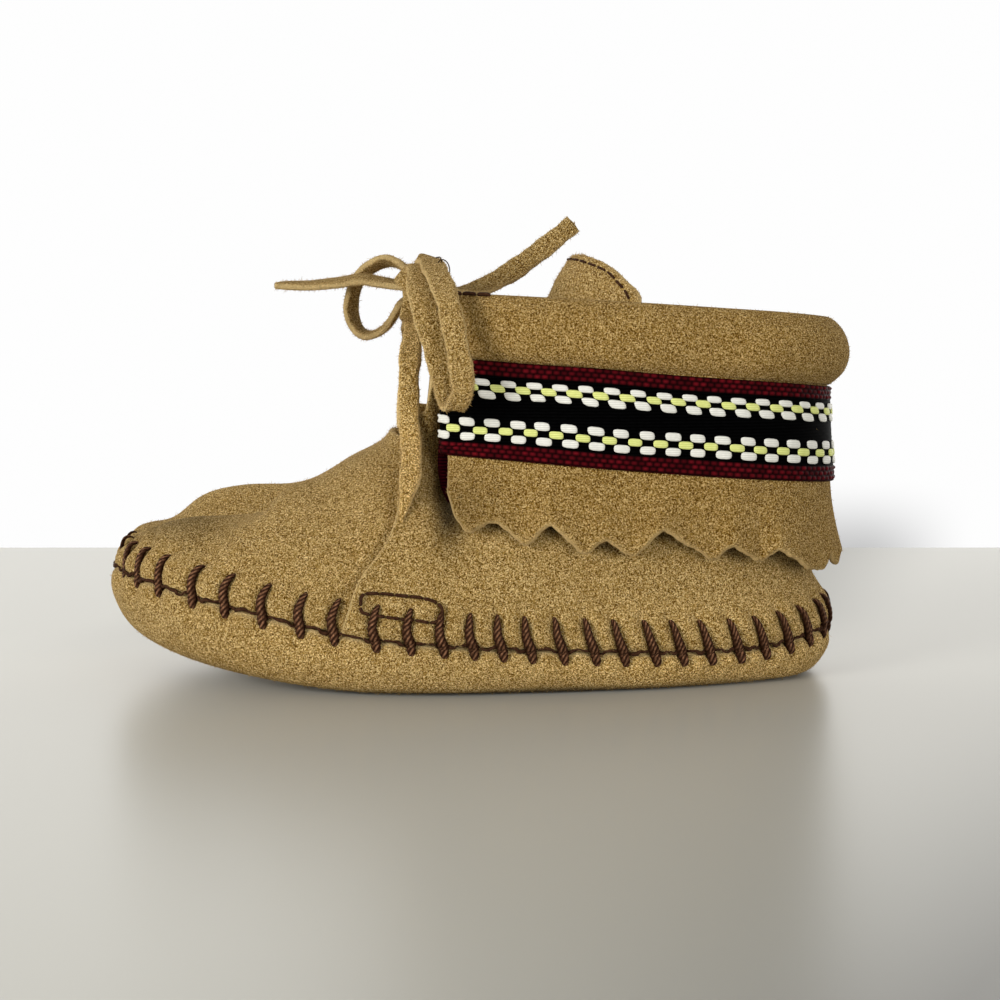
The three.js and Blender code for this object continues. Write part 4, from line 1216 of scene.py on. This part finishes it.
def thong(name, rows, taper_width=0.0, brushed=0.0):
    """Flat strap through rows of place and turn: a blunt rounded section, closed at both ends.

    Turn is the angle of the strap's width from across the shoe (0) to along it (90); a fifth column
    gives a stretched strap's own width and a sixth its tip out of level.
    """
    rows = np.array(rows, float)
    rough = np.linalg.norm(np.diff(rows[:, :3], axis=0), axis=-1).sum()
    stations = int(rough / LACE_STEP)
    t = (len(rows) - 1) * np.linspace(0, 1, stations)
    path = np.stack([through(rows[:, k], t) for k in range(3)], -1)
    turn = np.radians(through(rows[:, 3], t))
    width = through(rows[:, 4], t)[:, None] if rows.shape[1] > 4 else LACE_WIDTH
    along = unit(np.gradient(path, axis=0))
    tip = through(rows[:, 5], t) if rows.shape[1] > 5 else 0 * turn
    wide = np.stack([np.sin(turn), np.cos(turn), tip], -1)
    wide = unit(wide - (wide * along).sum(-1, keepdims=True) * along)
    tall = np.cross(along, wide)
    run = run_along(path)
    shut = [np.sqrt(1 - np.clip(1 - way / LACE_END, 0, 1) ** 2) for way in (run, run[-1] - run)]
    close = np.minimum(*shut)[:, None]
    uneven = 1 + 0.05 * np.sin(run * 0.9 + rows[0, 0])[:, None] + 0.03 * np.sin(run * 2.3)[:, None]
    point = np.clip(0.12 + run / taper_width, 0, 1)[:, None] if taper_width else 1.0
    turnround = round_steps(LACE_SECTION)
    section = np.stack(
        [
            0.5 * width * squarish(np.cos(turnround), 0.42) * close * uneven * point,
            0.5 * LACE_THICKNESS * squarish(np.sin(turnround), 0.62) * close / uneven,
        ],
        -1,
    )
    raw = 0.7 * np.abs(np.cos(turnround)) ** 5
    run_of = (path[None], wide[None], tall[None], section[None])
    made = swept(name, *run_of, tan_suede, cut=raw, brushed=brushed)
    lifts = np.cos(turnround)[:, None] * wide[:, None] + np.sin(turnround)[:, None] * tall[:, None]
    shell = path[:, None] + section[..., :1] * wide[:, None] + section[..., 1:] * tall[:, None]
    napped.append((shell.reshape(-1, 3), lifts.reshape(-1, 3)))
    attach(made, "root")
    return made, path, run[-1]


over = [(*place, 90.0) for place in CROSSING]
legs = np.concatenate([leg_rows(LEG_LEANS["outer"], 1), over, leg_rows(LEG_LEANS["inner"], -1)[::-1]])
# The legs get painted light.
lace_bar, _, _ = thong("lace_legs", legs, taper_width=8.0, brushed=-0.55)
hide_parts("lace_bar")

BOW = {
    "lace_loop_near": [
        (-10.4, -4.4, 65.6, 60, 3.4), (-8.2, -10.5, 67.9, 80, 3.7), (-6.8, -18.0, 66.2, 90, 3.9),
        (-4.8, -24.4, 61.8, 90, 3.7), (-3.4, -26.8, 55.4, 90, 3.6), (-2.4, -27.4, 49.6, 90, 3.6),
        (-2.5, -27.3, 47.2, 88, 3.3), (-3.8, -26.3, 45.4, 86, 3.2), (-5.0, -24.9, 47.0, 88, 3.3),
        (-5.5, -24.2, 49.8, 90, 3.6), (-7.0, -23.4, 55.8, 90, 4.1), (-8.9, -20.8, 62.4, 90, 4.3),
        (-9.4, -13.4, 66.7, 88, 4.1), (-10.3, -6.6, 66.6, 85, 3.4),
    ],
    "lace_loop_far": [
        (-11.2, -1, 65.6, 10, 3.3, 0), (-12.6, 2, 67.3, 15, 3.3, -0.2), (-15.5, 3.6, 68.5, 15, 3.3, -0.4),
        (-19.0, 6, 67.2, 22, 3.3, -0.3), (-21.4, 8.5, 64.4, 30, 3.3, 0), (-22.3, 10, 60.6, 34, 3.3, 0),
        (-21.4, 10, 57.3, 30, 3.3, 0), (-19.3, 8.8, 56, 22, 3.3, 0.2), (-16.6, 7, 57, 15, 3.3, 0.3),
        (-15.0, 5.6, 58.7, 10, 3.3, 0.2), (-12.6, 1.0, 62.0, 10, 3.3, 0),
    ],
    "lace_end_front": [
        (-8.4, -5.4, 63.4, 0, 3.3, 0), (-16.2, 0.4, 64.8, 0, 3.3, 0.3), (-20, 2.5, 65.4, 0, 3.3, 0.35),
        (-24, 5, 64.9, 5, 3.3, 0.35), (-29.5, 8.5, 64.5, 5, 3.3, 0.25), (-34.9, 11.6, 64.6, 5, 3.2, 0.1),
    ],
    "lace_end_back": [
        (-11.5, -1.5, 63.8, 60, 3.3), (-9.2, 0.5, 63.6, 60, 3.3), (-2.2, 5.5, 63.5, 80, 3.7),
        (3.5, 9, 65.8, 90, 3.8), (9.6, 11, 70, 90, 3.5), (16.1, 12, 75.2, 90, 3.3),
    ],
}  # fmt: skip
for name, rows in BOW.items():
    # The far loop and both free ends get painted shade; the near loop gets none.
    strap, path, length = thong(name + "_thong", rows, brushed=0.0 if name.endswith("near") else 0.22)
    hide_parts(name)


# Knot.
# The thong drawn tight on itself under the bow: a packed core, and the two turns of the strap that show
# round it.
KNOT = np.array([-9.9, -4.4, 63.6])
KNOT_HALF = np.array([2.7, 4.2, 4.3])
lon, lat = globe(40, 24)
ball = np.stack([np.cos(lon) * np.cos(lat), np.sin(lon) * np.cos(lat), np.sin(lat)], -1)
core = KNOT + ball * KNOT_HALF * (1 + rumpled(ball * 3, 41, 4.5, 0.22))[..., None]
core = core.transpose(1, 0, 2)
knot = new_object("lace_knot_core", core, grid_faces(core.shape[0], core.shape[1], True), tan_suede)
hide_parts("lace_knot")
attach(knot, "root")

WRAP_STEPS = 60
WRAPS = {  # a turn's direction in side view (along, up), its half sizes along that and across the shoe
    "lace_knot_turn_front": ((-0.3, -0.95), 5.2, 4.9),
    "lace_knot_turn_back": ((0.75, -0.66), 3.7, 3.3),
}
for name, ((dx, dz), long, deep) in WRAPS.items():
    turn = np.linspace(0.6 * np.pi, 2.75 * np.pi, WRAP_STEPS)[:, None]
    tuck = 1 - 0.22 * np.abs(np.linspace(-1, 1, WRAP_STEPS)[:, None]) ** 8  # both ends drawn in
    loop = long * np.cos(turn) * np.array([dx, 0, dz]) + deep * np.sin(turn) * np.array([0, 1, 0])
    ring_path = KNOT + tuck * loop
    wide = np.tile(np.array([-dz, 0, dx]), (WRAP_STEPS, 1))
    along = unit(np.gradient(ring_path, axis=0))
    close = closing(WRAP_STEPS, 0.03)[:, None]
    turnround = round_steps(LACE_SECTION)
    section = np.stack(
        [
            0.55 * LACE_WIDTH * squarish(np.cos(turnround), 0.5) * close,
            0.5 * LACE_THICKNESS * squarish(np.sin(turnround), 0.7) * close,
        ],
        -1,
    )
    wrap = swept(name, ring_path[None], wide[None], np.cross(along, wide)[None], section[None], tan_suede)
    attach(wrap, "root")


# Thread stitching.
# Thin brown thread in short machine stitches: a closed box that holds the quarter's front wing down
# by the seam, and a line round the tongue's top.
THREAD, THREAD_STITCH, THREAD_GAP = 0.55, 2.2, 0.05
TONGUE_THREAD, TONGUE_GAP = 0.42, 0.3
BOX_LINE = [  # as seen from the side: place along and height
    (-17.6, 16.5), (-15.0, 16.5), (-12.1, 16.2), (-9.2, 15.9), (-7.2, 15.4), (-6.0, 14.7), (-5.6, 13.8),
    (-5.9, 12.7), (-7.2, 12.1), (-9.2, 12.4), (-12.1, 12.7), (-15.0, 13.1), (-17.4, 13.5), (-18.1, 13.9),
    (-18.2, 14.9), (-18.1, 16.0), (-17.6, 16.5),
]  # fmt: skip
TONGUE_LINE = [  # way across and height
    (13.9, 59.4), (13.3, 61.4), (11.7, 64.2), (9.4, 66.5), (5.2, 67.9), (0, 68.1),
    (-5.2, 67.9), (-9.4, 66.5), (-11.7, 64.2), (-13.3, 61.4), (-13.9, 59.4),
]  # fmt: skip


def run_stitches(name, line, out, thread=THREAD, gap=THREAD_GAP):
    """Short tubes along a line, each arched out of the hide and sunk at both ends."""
    way = run_along(line)
    count = int(way[-1] / THREAD_STITCH)
    t = np.linspace(0, 1, 9)
    start = np.arange(count)[:, None] * way[-1] / count
    at = start + gap / 2 + t * (way[-1] / count - gap)
    path = np.stack([np.interp(at, way, line[:, k]) for k in range(3)], -1)
    normal = unit(np.stack([np.interp(at, way, out[:, k]) for k in range(3)], -1))
    path = path + normal * (0.16 - 0.42 * (2 * t - 1) ** 6)[None, :, None]
    along = unit(np.gradient(path, axis=1))
    wide = unit(np.cross(normal, along))
    section = 0.5 * thread * ring_of(7) * closing(9, 0.12)[:, None, None] * np.ones((count, 1, 1, 1))
    made = swept(name, path, wide, np.cross(along, wide), section, cord_brown, strand=0.1)
    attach(made, "root")
    return made


t = np.linspace(0, len(BOX_LINE) - 1, 160)
x, z = (through(values, t) for values in np.array(BOX_LINE).T)
box = np.stack([x, -half_width_at(x, z) - LAP - 0.3, z], -1)
run_stitches("box_stitches", box, np.tile(np.array([0, -1.0, 0.15]), (len(box), 1)))

t = np.linspace(0, len(TONGUE_LINE) - 1, 160)
y, z = (through(values, t) for values in np.array(TONGUE_LINE).T)
tongue_rows = np.linspace(3, 7, 400)
row = np.interp(z, through(TONGUE["z"], tongue_rows), tongue_rows)
across = y / through(TONGUE["half"], row)
face = tongue_point(row, across)
slope = unit(np.cross(tongue_point(row + 0.05, across) - face, tongue_point(row, across + 0.02) - face))
for name, side in (("tongue_stitches_front", 1), ("tongue_stitches_back", -1)):
    line = face + slope * side * SUEDE / 2
    run_stitches(name, line, slope * side, TONGUE_THREAD, TONGUE_GAP)


# Collar stitches.
# The collar's turned edge is caught down with a few dark machine stitches at the front of the roll, on
# both sides of the throat.
COLLAR_THREAD, COLLAR_GAP, COLLAR_ROW = 0.65, 0.1, 2.25
COLLAR_RUN = (-4.5, 2.2)  # places along where the line starts and ends
for name, side in (("collar_stitches_outer", 1), ("collar_stitches_inner", -1)):
    turn = angle_at(UPPER_RINGS, CUFF_RING, np.linspace(*COLLAR_RUN, 60))
    turn = turn if side > 0 else 2 * np.pi - turn
    top = np.full_like(turn, COLLAR_ROW)
    lift = cuff_normal(turn, top)
    line = cuff_middle(turn, top) + lift * (SUEDE / 2 + 0.1)
    run_stitches(name, line, lift, COLLAR_THREAD, COLLAR_GAP)


# Stray thread.
# A loose end of the fine brown sewing thread, left uncut. It curls up from the bow's near loop in one
# thin turn.
STRAY_RADIUS = 0.09
t = np.linspace(0, 1, 44)[None]
curl = np.stack(
    [
        -6.9 + 2.0 * t + 0.6 * np.sin(9.5 * t),
        -15.5 - 1.2 * t,
        67.6 - 2.0 * (t - 0.4) + 0.95 * np.cos(9.5 * t) * smooth(t, 0, 0.2),
    ],
    -1,
)
along = unit(np.gradient(curl, axis=1))
wide = unit(np.cross(along, np.array([0, 1.0, 0])))
section = STRAY_RADIUS * closing(44, 0.02)[None, :, None, None] * ring_of(6)
stray = swept("stray_thread", curl, wide, np.cross(along, wide), section, cord_brown)
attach(stray, "root")


# Loose fibres.
# Short hairs of the nap that stand off every suede face and thicken along its cut edges, each a thin
# spike rooted just under the hide.
FIBRES, FIBRE_LENGTH, FIBRE_ROOT = 32000, 0.38, 0.07
loose = np.random.default_rng(77)
points = np.concatenate([face for face, _ in napped])
normals = np.concatenate([normal for _, normal in napped])
shares = np.concatenate([np.full(len(face), 8.0 if len(face) < 8000 else 1.0) for face, _ in napped])
chosen = loose.choice(len(points), FIBRES, replace=False, p=shares / shares.sum())
root, lift = points[chosen], unit(normals[chosen])
lying = unit(np.cross(lift, loose.normal(size=root.shape)))
over = np.cross(lift, lying)
length = FIBRE_LENGTH * np.exp(loose.normal(0, 0.35, (FIBRES, 1)))
tip = root + length * unit(lift * loose.uniform(0.3, 1.1, (FIBRES, 1)) + lying)
root = root - 0.08 * lift
around = [root + FIBRE_ROOT * (np.cos(a) * lying + np.sin(a) * over) for a in (0, 2.1, 4.2)]
hairs = np.stack([*around, tip], 1)
corners = np.array([[0, 2, 1], [0, 1, 3], [1, 2, 3], [2, 0, 3]])
faces = (np.arange(FIBRES)[:, None, None] * 4 + corners).reshape(-1, 3)
fibre_tan, _, _ = new_material(
    "fibre_tan", Base_Color=srgb(188, 156, 102), Roughness=0.9, Specular_IOR_Level=0.1
)
fibres = new_object("nap_fibres", hairs, faces, fibre_tan)
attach(fibres, "root")
